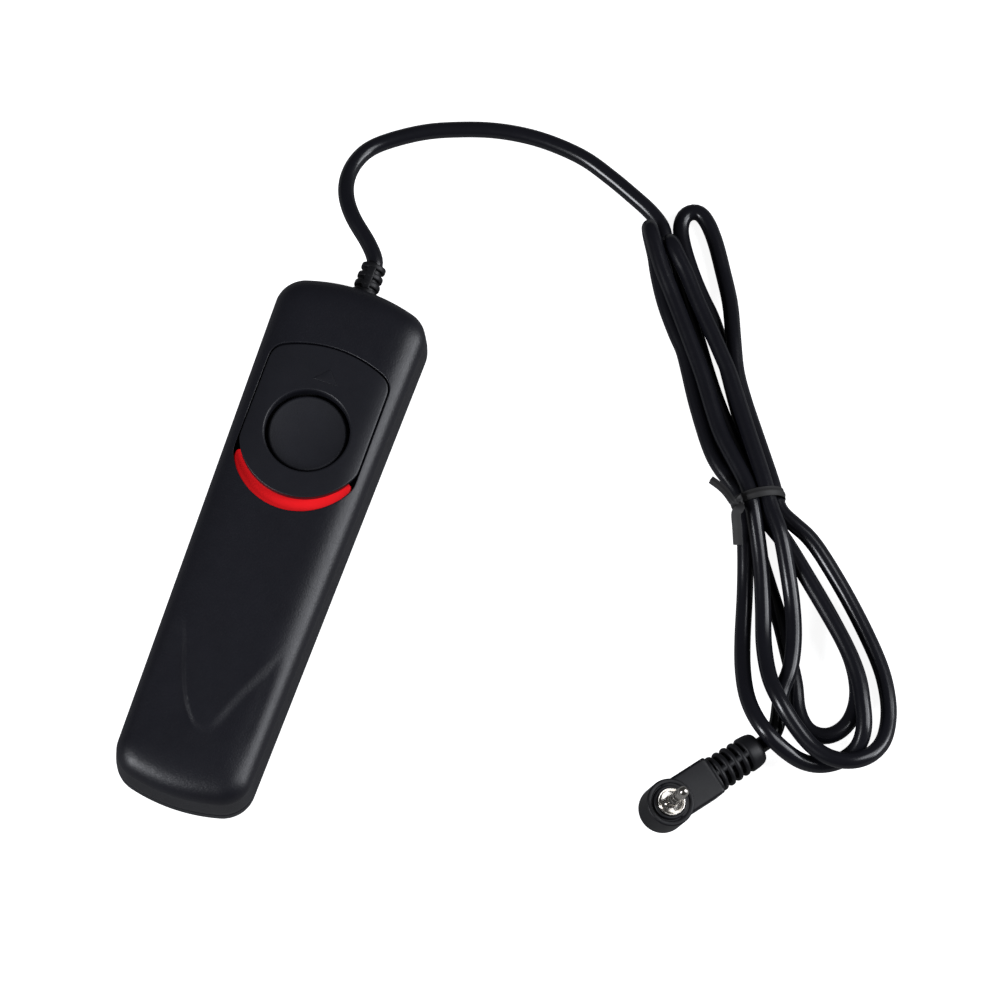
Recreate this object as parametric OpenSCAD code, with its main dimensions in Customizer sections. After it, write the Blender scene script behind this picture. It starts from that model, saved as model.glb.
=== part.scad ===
// Wired shutter release: handset with sliding lock plate, coiled lead and 2.5 mm right-angle plug.
// +Y runs along the handset towards the lead exit, +Z is up, z = 0 is the table. Millimetres.

/* [Handset] */
// overall length of the handset
body_len = 120.3; // [119.5:0.1:121]
// width across the lead end
head_w = 34.3; // [34:0.1:34.8]
// width across the tail end
tail_w = 30.5; // [30:0.1:31]
// thickness over the top face
body_t = 15; // [15:0.1:15.4]
// height of the joint line between the two shells
part_z = 4.5; // [4.5:0.05:4.55]

/* [Controls] */
// half width of the window the lock plate slides in
win_hw = 13.6; // [13.4:0.05:13.7]
// travel of the lock plate
lock_travel = 3; // [2.6:0.1:3]
// travel of the shutter button
press_travel = 1.9; // [1.5:0.1:1.9]
// diameter of the shutter button face
button_d = 16.9; // [16.4:0.1:17.1]

/* [Lead and plug] */
// diameter of the lead
lead_d = 3.5; // [3.2:0.05:3.5]
// diameter of the plug pin
pin_d = 2.5; // [2.4:0.01:2.5]
// which piece to draw

/* [Hidden] */
$fn = 48;
eps = 0.01;
head_bulge = 4.4;
tail_bulge = 3.7;
corner_r = 7.1;
btn_y = 24.6;         // centre of the button
plate_cy = 23.7;      // centre of the round lower edge of the plate
plate_r = 14.2;
gap = 0.25;
lead_z = 6.8;         // height of the lead inside the handset
ceil_z = body_t - 1.9;
plug_pos = [98.1, -26.9, 7.0];
plug_rot = [10.7, 7.8, 54.4];
tie_pos = [95, 44, 6.0];
tie_dir = 58.8;       // heading of the bundle below the +X axis

// ---- plan outline: centre points and outward normals, so an inset keeps the same corners
function unit(v) = v / norm(v);
function endpts(w, yend, b, s, n) = [for (i = [0 : n]) let (
    x = s * (w / 2 - corner_r) * (1 - 2 * i / n),
    c = [x, s * (yend - b * pow(2 * x / w, 2) - corner_r)],
    nn = unit([2 * b * x / pow(w / 2, 2), s])) [c, nn]];
function arcpts(c, a0, a1, n) = [for (i = [1 : n - 1]) let (a = a0 + (a1 - a0) * i / n) [c, [cos(a), sin(a)]]];
function ang(v) = atan2(v[1], v[0]);
function plan() = let (
    h = endpts(head_w, body_len / 2, head_bulge, 1, 8),
    t = endpts(tail_w, body_len / 2, tail_bulge, -1, 8),
    sa = atan((head_w - tail_w) / 2 / (body_len - 2 * corner_r)),
    hr = h[0], hl = h[8], tl = t[0], tr = t[8])
    concat(h, arcpts(hl[0], ang(hl[1]), 180 + sa, 6), [[hl[0], [-cos(sa), -sin(sa)]]],
           [[tl[0], [-cos(sa), -sin(sa)]]], arcpts(tl[0], 180 - sa, ang(tl[1]) + 360, 6), t,
           arcpts(tr[0], ang(tr[1]), -sa, 6), [[tr[0], [cos(sa), -sin(sa)]]],
           [[hr[0], [cos(sa), -sin(sa)]]], arcpts(hr[0], -sa, ang(hr[1]), 6));
function ring(d, z) = [for (p = plan()) let (q = p[0] + (corner_r - d) * p[1]) [q[0], q[1], z]];
// stacked rings [z, inset] closed top and bottom
module loft(lv) {
    n = len(plan());
    m = len(lv);
    polyhedron(points = [for (l = lv) each ring(l[1], l[0])],
        faces = concat([[for (i = [0 : n - 1]) i]], [[for (i = [n - 1 : -1 : 0]) (m - 1) * n + i]],
            [for (k = [0 : m - 2], i = [0 : n - 1]) let (j = (i + 1) % n) [k * n + i, (k + 1) * n + i, k * n + j]],
            [for (k = [0 : m - 2], i = [0 : n - 1]) let (j = (i + 1) % n) [k * n + j, (k + 1) * n + i, (k + 1) * n + j]]));
}
module upper_solid(drop = 0) {
    t = body_t - drop;
    loft([[part_z, 0.35], [part_z + 0.4, 0], [t - 4.5, 0.35], [t - 3, 0.85], [t - 1.9, 1.6],
          [t - 1.1, 2.6], [t - 0.55, 3.8], [t - 0.2, 5.1], [t, 6.5]]);
}
// window of the top face and the plate that fills it
function bow(hw, y0, b, n) = [for (i = [0 : n]) let (x = hw - 2 * hw * i / n) [x, y0 - b * pow(x / hw, 2)]];
module window2d(hw, ytop, cy, r) {
    union() {
        intersection() {
            translate([-hw, cy - r - 1]) square([2 * hw, ytop - cy + r + 2]);
            union() {
                translate([0, cy]) circle(r = r, $fn = 72);
                polygon(concat([[-hw, cy], [hw, cy]],
                    [for (a = [0 : 15 : 90]) [hw - 3.4 + 3.4 * cos(a), ytop - 5.6 + 3.4 * sin(a)]],
                    bow(hw - 3.6, ytop, 1.9, 8),
                    [for (a = [90 : 15 : 180]) [-hw + 3.4 + 3.4 * cos(a), ytop - 5.6 + 3.4 * sin(a)]]));
            }
        }
    }
}
module at_case_screws() for (p = [[-9.5, -45], [9.5, -45], [-11, 48.5], [11, 48.5]]) translate([p[0], p[1], 0]) children();
module at_board_screws() for (p = [[-8, 0], [8, 42.5]]) translate([p[0], p[1], 0]) children();
module along_y(y) translate([0, y, lead_z]) rotate([-90, 0, 0]) children();

// ---- shells
module upper_shell() color([0.07, 0.07, 0.08]) difference() {
    union() {
        difference() {
            upper_solid();
            loft([[part_z - 1, 1.7], [body_t - 3.4, 1.7], [body_t - 2.4, 2.2], [ceil_z, 3.0]]);
        }
        at_case_screws() translate([0, 0, part_z + 0.05]) cylinder(r = 2.6, h = ceil_z - part_z);
    }
    translate([0, 0, ceil_z - 3]) linear_extrude(9) window2d(win_hw, 44.1, plate_cy - lock_travel, plate_r + gap);
    at_case_screws() translate([0, 0, 0]) cylinder(r = 0.95, h = 10);
    // passage of the strain relief
    translate([-2.9, 55, part_z - 1]) cube([5.8, 8, lead_z - part_z + 1]);
    along_y(55) cylinder(r = 2.9, h = 8);
    // lowered tail field behind the pointed tongue of the top face
    translate([0, 0, body_t - 0.5]) linear_extrude(2) difference() {
        polygon([[-20, -23], [-20, -70], [20, -70], [20, -23]]);
        polygon([[-12.5, -20], [-8.5, -27.9], [-4, -39.4], [-1.4, -43.4], [1.3, -44.7], [3.6, -43.2], [6.3, -36.1], [12.4, -22.5], [14, -19]]);
    }
}
module lower_shell() color([0.06, 0.06, 0.07]) difference() {
    union() {
        difference() {
            union() {
                loft([[0, 1.9], [0.6, 0.7], [1.6, 0.15], [2.4, 0], [part_z - 0.4, 0], [part_z - 0.05, 0.35]]);
                loft([[part_z - 1, 1.85], [part_z + 1, 1.85]]);
            }
            loft([[1.8, 3.1], [part_z + 2, 3.1]]);
        }
        at_case_screws() translate([0, 0, 1]) cylinder(r = 3.2, h = part_z - 1);
        at_board_screws() translate([0, 0, 1]) cylinder(r = 2.2, h = 1.8);
        // saddle under the lead and filler below the strain relief
        translate([-6.2, 49, 1]) cube([12.4, 4, 5.7]);
        translate([-2.8, 57.2, part_z - 1]) cube([5.6, 2.5, lead_z - part_z + 1]);
    }
    at_case_screws() { translate([0, 0, -1]) cylinder(r = 2.1, h = 2.8); cylinder(r = 1.15, h = 9); }
    at_board_screws() translate([0, 0, 0.9]) cylinder(r = 0.85, h = 5);
    along_y(48) cylinder(r = lead_d / 2 + 0.03, h = 6);
    along_y(56) cylinder(r = 2.9, h = 8);
    for (x = [-4.4, 4.4]) translate([x, 51, 2.4]) cylinder(r = 0.72, h = 6);
}
module cross_slot(w, d) for (a = [0, 90]) rotate([0, 0, a]) translate([-w / 2, -0.25, 0]) cube([w, 0.5, d]);
module case_screws() color([0.55, 0.55, 0.57]) at_case_screws() difference() {
    union() { translate([0, 0, 0.5]) cylinder(r = 1.9, h = 1.3); translate([0, 0, 1.7]) cylinder(r = 0.93, h = 7.8); }
    translate([0, 0, 0.4]) cross_slot(2.2, 0.8);
}

// ---- sliding lock plate and what it carries
module hold_plate() color([0.05, 0.05, 0.055]) difference() {
    union() {
        intersection() {
            upper_solid(0.1);
            translate([0, 0, ceil_z - 0.7]) linear_extrude(5) window2d(win_hw - gap, 44.1 - gap, plate_cy, plate_r);
        }
        // raised arrow pointing the way the plate slides to lock
        translate([0, 0, body_t - 0.4]) linear_extrude(0.42) polygon([[-2.6, 36.2], [2.6, 36.2], [0, 38.9]]);
    }
    // lower lip rides over the red flag
    translate([0, 0, ceil_z - 1]) linear_extrude(1.25) difference() {
        translate([-20, 0]) square([40, plate_cy - 3.2]);
        translate([0, plate_cy]) circle(r = 10.7, $fn = 72);
    }
    translate([0, btn_y, 5]) cylinder(r = button_d / 2 + 0.65, h = 20);
    translate([0, btn_y, body_t - 0.4]) cylinder(r1 = button_d / 2 + 0.65, r2 = button_d / 2 + 1.05, h = 0.6);
    for (x = [-11.6, 11.6]) translate([x, 40.3, 5]) cylinder(r = 0.72, h = ceil_z - 5 + 0.7);
}
module slide_carrier() color([0.16, 0.16, 0.17]) difference() {
    union() {
        translate([0, btn_y, 7.4]) cylinder(r = 10.6, h = ceil_z - 0.7 - 7.4, $fn = 72);
        translate([-14.2, 22, 11.2]) cube([28.4, 20.3, ceil_z - 0.7 - 11.2]);
    }
    difference() {
        translate([0, btn_y, 8.3]) cylinder(r = 9.75, h = 9, $fn = 72);
        translate([0, btn_y, 8]) cylinder(r = 2.9, h = 1.3);
    }
    translate([0, btn_y, 7]) cylinder(r = 2.05, h = 4);
    // groove for the detent spring
    translate([-9.7, 33.2, 11]) cube([2.6, 5.8, 0.75]);
    for (x = [-11.6, 11.6]) translate([x, 40.3, 5]) cylinder(r = 0.85, h = 9);
}
module slider_screws() color([0.6, 0.6, 0.62]) for (x = [-11.6, 11.6]) translate([x, 40.3, 0]) difference() {
    union() { translate([0, 0, 10.3]) cylinder(r = 1.4, h = 0.9); translate([0, 0, 11.1]) cylinder(r = 0.7, h = ceil_z - 11.1 + 0.6); }
    translate([0, 0, 10.2]) cross_slot(1.6, 0.5);
}
module hold_flag() color([0.8, 0.08, 0.09]) intersection() {
    translate([0, plate_cy - lock_travel, 0]) union() {
        difference() {
            translate([0, 0, ceil_z - 0.8]) cylinder(r = plate_r + gap - 0.1, h = 0.95, $fn = 96);
            translate([0, 0, ceil_z - 2]) cylinder(r = 10.9, h = 5, $fn = 96);
        }
        difference() {
            translate([0, 0, ceil_z - 0.8]) cylinder(r = plate_r + 2.2, h = 0.8, $fn = 96);
            translate([0, 0, ceil_z - 2]) cylinder(r = 12, h = 5, $fn = 96);
        }
    }
    translate([-12.7, -5, 0]) cube([25.4, 21, 20]);
}
module shutter_button() color([0.1, 0.1, 0.11]) translate([0, btn_y, 0]) difference() {
    union() {
        translate([0, 0, 9.6]) cylinder(r = button_d / 2, h = body_t - 0.1 - press_travel - 9.6, $fn = 72);
        translate([0, 0, 9.6]) cylinder(r = 9.5, h = 0.8, $fn = 72);
    }
    translate([0, 0, body_t - 0.1 - press_travel - 0.55 + 60]) sphere(r = 60, $fn = 120);
    difference() {
        translate([0, 0, 9]) cylinder(r = 7.2, h = 2.6);
        translate([0, 0, 8]) cylinder(r = 3, h = 5);
    }
    translate([0, 0, 9]) cylinder(r = 2, h = 2.2);
}
module plunger() color([0.85, 0.85, 0.82]) translate([0, btn_y, 0]) {
    translate([0, 0, 7]) cylinder(r = 2, h = 4.2);
    translate([0, 0, 6.5]) cylinder(r1 = 1.2, r2 = 2, h = 0.5);
}
// coil of the return spring, pressed short while the button is held in
module return_spring() color([0.7, 0.7, 0.7]) {
    n = 72; turns = 3; wr = 0.3; cr = 5.2; z0 = 8.34 + wr; z1 = 11.56 - wr;
    polyhedron(points = [for (i = [0 : n], k = [0 : 5]) let (a = 360 * turns * i / n, r = cr + wr * cos(60 * k))
            [r * cos(a), btn_y + r * sin(a), z0 + (z1 - z0) * i / n + wr * sin(60 * k)]],
        faces = concat([[for (k = [0 : 5]) k]], [[for (k = [5 : -1 : 0]) n * 6 + k]],
            [for (i = [0 : n - 1], k = [0 : 5]) let (j = (k + 1) % 6) [i * 6 + k, (i + 1) * 6 + k, i * 6 + j]],
            [for (i = [0 : n - 1], k = [0 : 5]) let (j = (k + 1) % 6) [i * 6 + j, (i + 1) * 6 + k, (i + 1) * 6 + j]]));
}
module hold_detent_spring() color([0.75, 0.75, 0.72]) translate([-9.4, 0, 0]) {
    translate([0, 38, 4]) cube([2, 3, 0.3]);
    translate([0, 38, 4]) cube([2, 0.3, 6.7]);
    translate([0, 33, 10.4]) cube([2, 5.3, 0.3]);
    translate([0, 34.6, 10.7]) rotate([0, 90, 0]) cylinder(r = 0.8, h = 2);
}

// ---- switch
module contact_board() color([0.1, 0.32, 0.16]) difference() {
    translate([-11.5, -3, 2.8]) cube([23, 48, 1.2]);
    at_board_screws() translate([0, 0, 2]) cylinder(r = 1, h = 4);
}
module board_screws() color([0.6, 0.6, 0.62]) at_board_screws() difference() {
    union() { translate([0, 0, 4]) cylinder(r = 1.6, h = 1); translate([0, 0, 1]) cylinder(r = 0.8, h = 3.1); }
    translate([0, 0, 4.5]) cross_slot(1.8, 1);
}
module contact_block() color([0.2, 0.2, 0.22]) difference() {
    translate([-5, 3.6, 4]) cube([10, 4.9, 3.3]);
    translate([-6, 6, 6.3]) rotate([0, 90, 0]) cylinder(r = 0.66, h = 12);
    translate([-2.8, 6, 5.6]) cube([5.6, 4, 3]);
}
module common_leaf() color([0.8, 0.66, 0.38]) {
    translate([-2.5, 6, 6.3]) rotate([0, 90, 0]) cylinder(r = 0.6, h = 5);
    translate([-2.5, 6.3, 6.15]) cube([5, 19, 0.3]);
    translate([-4, 25.2, 6.15]) cube([8, 3.3, 0.3]);
}
module focus_leaf() color([0.8, 0.66, 0.38]) {
    translate([1.6, 26.6, 5.82]) cube([2.2, 7.5, 0.3]);
    translate([1.6, 33.8, 4]) cube([2.2, 0.3, 2.1]);
    translate([1.6, 33.8, 4]) cube([2.2, 2.2, 0.3]);
}
module shutter_contact() color([0.82, 0.7, 0.35]) {
    translate([-2.4, 27, 4]) cylinder(r = 1.5, h = 0.4);
    translate([-2.4, 27, 4]) cylinder(r = 0.9, h = 2.12);
}
module solder_joints() color([0.75, 0.75, 0.77]) for (x = [-4, 0, 4]) translate([x, 43.4, 4]) cylinder(r1 = 1, r2 = 0.35, h = 0.8);
module core_wire(x) {
    a = [x * 0.18, 47.9, lead_z]; b = [x, 44.15, 5];
    d = b - a;
    translate(a) rotate([0, acos(d[2] / norm(d)), atan2(d[1], d[0])]) cylinder(r = 0.32, h = norm(d), $fn = 24);
}
module wire_common() color([0.75, 0.75, 0.75]) core_wire(0);
module wire_focus() color([0.85, 0.75, 0.1]) core_wire(-4);
module wire_shutter() color([0.75, 0.08, 0.08]) core_wire(4);

// ---- lead
module cable_clamp() color([0.15, 0.15, 0.16]) difference() {
    translate([-6.2, 49.2, 6.9]) cube([12.4, 3.6, 2.6]);
    along_y(48) cylinder(r = lead_d / 2 + 0.03, h = 6);
    for (x = [-4.4, 4.4]) translate([x, 51, 5]) cylinder(r = 0.9, h = 6);
}
module clamp_screws() color([0.6, 0.6, 0.62]) for (x = [-4.4, 4.4]) translate([x, 51, 0]) difference() {
    union() { translate([0, 0, 9.5]) cylinder(r = 1.5, h = 0.9); translate([0, 0, 3]) cylinder(r = 0.7, h = 6.6); }
    translate([0, 0, 10]) cross_slot(1.7, 1);
}
module strain_relief() color([0.06, 0.06, 0.065]) difference() {
    union() {
        translate([-4.2, 53.9, 3.2]) cube([8.4, 2.6, 7.4]);
        along_y(56) cylinder(r = 2.85, h = 5.4);
        along_y(61) cylinder(r = 2.25, h = 6.4);
        for (y = [62.9, 65.5]) along_y(y) cylinder(r = 2.85, h = 1.3);
        translate([-0.7, 61, lead_z - 2.75]) cube([1.4, 5, 5.5]);
    }
    along_y(50) cylinder(r = lead_d / 2 + 0.03, h = 12);
    along_y(61) cylinder(r = lead_d / 2 + 0.2, h = 10);
}
// way points of the lead from the clamp through the coil to the plug
way = [[0, 48, 6.8], [0, 54, 6.8], [0, 60, 6.8], [0, 64.5, 6.8], [-0.1, 68.2, 6.8], [-3.2, 72, 6.8], [-7.9, 76.2, 6.4], [-11.2, 80.6, 5.6], [-12.7, 85.3, 4.6],
    [-12.3, 90.6, 3.4], [-9.6, 95.6, 2.3], [-1.7, 101.6, 1.8], [6.3, 105.2, 1.8], [14.6, 107.7, 1.8], [23.8, 108.7, 1.8],
    [33.5, 107.8, 1.8], [41, 105.3, 1.8], [46.7, 102.9, 1.8], [52, 100.4, 1.8], [55.8, 97.4, 1.8], [57.3, 93.6, 1.8], [60, 88.9, 1.8],
    [63.8, 82.8, 1.8], [71.3, 71.3, 1.8], [79.4, 59.3, 1.9],
    [87, 51, 2.6],
    // first pass of the tie, lowest loop
    [91.8, 45.6, 2.75], [94.9, 40.5, 2.75], [98.3, 34.5, 2.3], [102.8, 28, 1.8], [107.4, 21.5, 1.8], [111.4, 15, 1.8], [115, 9, 1.8],
    [117.4, 3.6, 1.8], [121, 0, 1.8], [125.3, 0.3, 1.8], [128.3, 4.2, 1.8], [128.4, 10.5, 1.8], [124.8, 17.8, 1.8], [117.5, 25.6, 1.8],
    [107, 35.2, 1.8], [102.7, 38.8, 2.2], [98.2, 42.4, 2.75],
    // up to the right hand top loop
    [95, 47.6, 2.75], [90.5, 54.4, 2.3], [84.8, 62.4, 1.8], [77.9, 73.3, 1.8], [72.6, 81, 1.8], [68.8, 85.1, 1.8], [64.8, 89.9, 1.8], [61, 95.3, 1.8],
    [59, 99.4, 1.8], [59.1, 102.6, 1.8], [61.3, 104, 1.8], [63.9, 102.5, 1.8], [67.1, 98.7, 1.8], [71, 92.5, 1.8], [74.9, 85.6, 2.9], [78, 78.1, 4.7],
    [81.2, 70.7, 5.1], [84.8, 65, 5.1], [88.7, 59.6, 5.2],
    // second pass and the outer right leg
    [96.7, 48.5, 6], [99.9, 43.5, 6], [103.8, 41.6, 5.6], [109.4, 39, 4.6], [120, 30.2, 2.6], [129.6, 20.2, 1.8], [134, 13.6, 1.8], [136.2, 7.8, 2],
    [136.6, 2.2, 3.2], [134.6, -2.2, 4.8], [131.2, -4.6, 5.6], [127, -5.2, 5.8], [122.6, -4, 6.1], [118, -1.2, 7.2], [113.6, 2.4, 8.3],
    [109.8, 6.8, 7.6], [106.3, 13.8, 5.6], [103.4, 22, 5.4], [99.8, 31, 6.8],
    // third pass and the left hand top loop
    [94.9, 40.5, 9.25], [91.8, 45.6, 9.25], [83.6, 54, 8.7], [79.7, 59.2, 8.4], [74.8, 66.4, 8.3], [69.1, 73.8, 8.3], [63.6, 80.7, 8.5], [58.8, 86.6, 9.1],
    [55.7, 91.1, 9.4], [54.2, 93.4, 9.3], [53.4, 94.7, 8.7], [53.1, 95.2, 7.2], [53.4, 94.7, 5.7], [54.3, 93.2, 5.1], [56.2, 90.2, 5], [58.2, 86.2, 5],
    [61.9, 80.1, 5], [66.5, 74.2, 5], [69, 71.4, 5], [71.8, 66.9, 5], [76.2, 59.7, 5], [83, 50.2, 5.7],
    // fourth pass and the outer left leg
    [90.1, 44.5, 6], [93.2, 39.4, 6], [96, 32.4, 4.4], [98.6, 24.5, 2.4], [101.4, 14.5, 2.6], [103.8, 7.4, 4.2], [106.6, 1.6, 6.2], [110, -2.6, 7.6],
    [113.8, -5.4, 7.8], [118, -6.9, 5.8], [122, -7.2, 3.2], [126, -6.2, 1.9], [129.8, -3.6, 1.9], [132, -0.2, 3.2], [131.9, 4, 4.8], [130, 8.6, 5.4],
    [127.2, 14, 5.4], [122, 20.2, 5.4], [113, 28.6, 5.4], [104, 36.4, 5.6],
    // fifth pass and the middle top loop
    [96.7, 41.5, 6], [93.6, 46.7, 6], [85.2, 55.8, 5.4], [80, 62, 5.1], [75.7, 67.8, 5], [70.1, 76.1, 5], [65.6, 82.9, 5], [61.8, 89.5, 5],
    [59.8, 92.1, 4.95], [58.7, 93.2, 5.45], [58.2, 93.7, 6.9], [58.7, 93.1, 8.35], [59.8, 91.9, 8.9], [61.7, 89.8, 8.8], [64.2, 87.3, 8.5], [68.7, 81.8, 8.2],
    [73.8, 76.1, 8.2], [77, 72.4, 8.2], [80.2, 68.6, 8.2], [84, 63.2, 8.3], [88.2, 57.2, 8.7],
    // last pass, then to the plug
    [95, 47.6, 9.25], [98.2, 42.4, 9.25], [102, 37.5, 9.25], [105.8, 30.8, 7.8], [109.2, 24.2, 5.8], [111.8, 17.4, 5.4], [113.2, 10.8, 5.4], [113, 5.8, 4.7],
    [113.8, 1.6, 4], [114.4, -1.7, 3.5], [114.1, -4.3, 3.4], [113.1, -5.95, 3.47], [112, -7.5, 3.73], [110.8, -9.2, 4.01], [107.6, -13.6, 4.76], [102.5, -20.8, 5.97]];
function cr(a, b, c, d, t) = 0.5 * (2 * b + (c - a) * t + (2 * a - 5 * b + 4 * c - d) * t * t + (3 * b - a - 3 * c + d) * t * t * t);
function line_pts() = let (m = len(way)) concat([for (i = [0 : m - 2]) let (
    a = way[max(i - 1, 0)], b = way[i], c = way[i + 1], d = way[min(i + 2, m - 1)], n = max(1, round(norm(c - b) / 2.6)))
    each [for (k = [0 : n - 1]) cr(a, b, c, d, k / n)]], [way[m - 1]]);
module tube(p, r, s) {
    m = len(p);
    polyhedron(points = [for (i = [0 : m - 1]) let (
            t = unit(p[min(i + 1, m - 1)] - p[max(i - 1, 0)]), u = unit(cross(t, [0, 0, 1])), v = cross(u, t))
            each [for (k = [0 : s - 1]) p[i] + r * (cos(360 * k / s) * u + sin(360 * k / s) * v)]],
        faces = concat([[for (k = [s - 1 : -1 : 0]) k]], [[for (k = [0 : s - 1]) (m - 1) * s + k]],
            [for (i = [0 : m - 2], k = [0 : s - 1]) let (j = (k + 1) % s) [i * s + k, i * s + j, (i + 1) * s + k]],
            [for (i = [0 : m - 2], k = [0 : s - 1]) let (j = (k + 1) % s) [i * s + j, (i + 1) * s + j, (i + 1) * s + k]]));
}
module cable_jacket() color([0.05, 0.05, 0.055]) tube(line_pts(), lead_d / 2, 8);
module twist_tie() color([0.03, 0.03, 0.03]) {
    translate(tie_pos) rotate([0, 0, -tie_dir]) rotate([0, 90, 0]) difference() {
        translate([0, 0, -1.1]) cylinder(r = 5.98, h = 2.2);
        translate([0, 0, -2]) cylinder(r = 5.64, h = 4);
    }
    // knot and the two loose ends
    translate([91, 40.2, 10.9]) rotate([8, -18, 30]) linear_extrude(height = 4.6, twist = 400, center = true, slices = 14) square([2.1, 1.1], center = true);
    hull() { translate([90, 40.3, 12.2]) cube([1.9, 0.9, 0.6], center = true); translate([84.4, 43.4, 10.6]) cube([1.9, 0.9, 0.5], center = true); }
    hull() { translate([90.5, 39.9, 12.2]) cube([1.4, 1.4, 0.6], center = true); translate([94.2, 32.2, 9.4]) cube([1.4, 1.4, 0.5], center = true); }
}

// ---- plug, modelled with its pin up and the neck along +X
module in_plug() translate(plug_pos) rotate(plug_rot) children();
module along_neck(x) translate([x, 0, 0]) rotate([0, 90, 0]) children();
module plug_overmould() color([0.06, 0.06, 0.065]) in_plug() difference() {
    union() {
        translate([0, 0, -4.4]) cylinder(r = 5.1, h = 8.8);
        translate([0, -4.3, -4]) cube([11.8, 8.6, 8]);
        along_neck(11.6) cylinder(r = 2.9, h = 12.4);
        for (i = [0 : 3]) along_neck(12.7 + i * 1.95) cylinder(r = 4 - i * 0.04, h = 1.1);
        along_neck(20.4) cylinder(r1 = 3.9, r2 = 3.5, h = 3.8);
        translate([11.6, -0.8, -3.6]) cube([9, 1.6, 7.2]);
    }
    translate([0, 0, 4]) difference() { cylinder(r = 4.15, h = 2); translate([0, 0, -1]) cylinder(r = 3.55, h = 4); }
    translate([0, 0, -1]) cylinder(r = 1.8, h = 9);
    along_neck(5.5) cylinder(r = lead_d / 2 + 0.03, h = 20);
}
module plug_sleeve() color([0.75, 0.75, 0.76]) in_plug() {
    translate([0, 0, -1]) cylinder(r = 1.8, h = 5.6);
    translate([0, 0, 4.4]) cylinder(r = 2.9, h = 0.6);
    translate([0, 0, 4.9]) cylinder(r = pin_d / 2, h = 4.1);
}
module plug_insulator_rear() color([0.05, 0.05, 0.05]) in_plug() translate([0, 0, 9]) cylinder(r = pin_d / 2, h = 0.5);
module plug_ring() color([0.75, 0.75, 0.76]) in_plug() translate([0, 0, 9.5]) cylinder(r = pin_d / 2, h = 1.7);
module plug_insulator_front() color([0.05, 0.05, 0.05]) in_plug() translate([0, 0, 11.2]) cylinder(r = pin_d / 2, h = 0.5);
module plug_tip() color([0.75, 0.75, 0.76]) in_plug() translate([0, 0, 11.7]) {
    r = pin_d / 2;
    rotate_extrude() polygon([[0, 0], [r, 0], [r, 1.5], [r - 0.38, 2.1], [r - 0.38, 2.5], [r - 0.08, 3.2], [r - 0.12, 3.7], [0.45, 4.45], [0, 4.5]]);
}

upper_shell();
lower_shell();
case_screws();
hold_plate();
slide_carrier();
slider_screws();
hold_flag();
shutter_button();
plunger();
return_spring();
hold_detent_spring();
contact_board();
board_screws();
contact_block();
common_leaf();
focus_leaf();
shutter_contact();
solder_joints();
wire_common();
wire_focus();
wire_shutter();
cable_clamp();
clamp_screws();
strain_relief();
cable_jacket();
twist_tie();
plug_overmould();
plug_sleeve();
plug_insulator_rear();
plug_ring();
plug_insulator_front();
plug_tip();
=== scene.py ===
"""Looks of the wired shutter release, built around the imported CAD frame.
Lengths in the helpers are millimetres in the CAD frame: +Y towards the lead exit, +Z up, z = 0 the table."""
import math

import bmesh
import bpy
import numpy as np
from mathutils import Matrix, Vector
from mathutils.geometry import delaunay_2d_cdt


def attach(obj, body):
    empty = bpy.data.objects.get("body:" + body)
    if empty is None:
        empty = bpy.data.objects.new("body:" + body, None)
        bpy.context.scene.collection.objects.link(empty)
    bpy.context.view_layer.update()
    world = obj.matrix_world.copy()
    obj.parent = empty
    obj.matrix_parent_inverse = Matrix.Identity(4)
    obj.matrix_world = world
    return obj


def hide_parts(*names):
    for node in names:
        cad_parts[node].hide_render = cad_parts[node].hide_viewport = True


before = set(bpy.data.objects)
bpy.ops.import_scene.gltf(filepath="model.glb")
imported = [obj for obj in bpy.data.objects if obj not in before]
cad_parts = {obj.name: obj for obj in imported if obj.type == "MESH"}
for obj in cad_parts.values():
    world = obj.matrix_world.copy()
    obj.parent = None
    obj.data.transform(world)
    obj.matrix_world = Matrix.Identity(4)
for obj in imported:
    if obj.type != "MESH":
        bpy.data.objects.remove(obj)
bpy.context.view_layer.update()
MM = 0.001
scene = bpy.context.scene


# studio set-up: what the world and the paper give back to the object, and the softboxes
WORLD_FILL, FLOOR_BOUNCE, PAPER_BOUNCE = 0.04, 0.03, 0.22
LIGHTS = [
    # name, azimuth, elevation, distance, width, height, watts
    ("key_low", 1, 21, 1.1, 0.60, 0.34, 5.5),
    ("key_high", 3, 46, 1.1, 0.60, 0.50, 4.5),
    ("strip_left", 210, 38, 1.1, 0.26, 0.46, 7.5),
]


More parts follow.
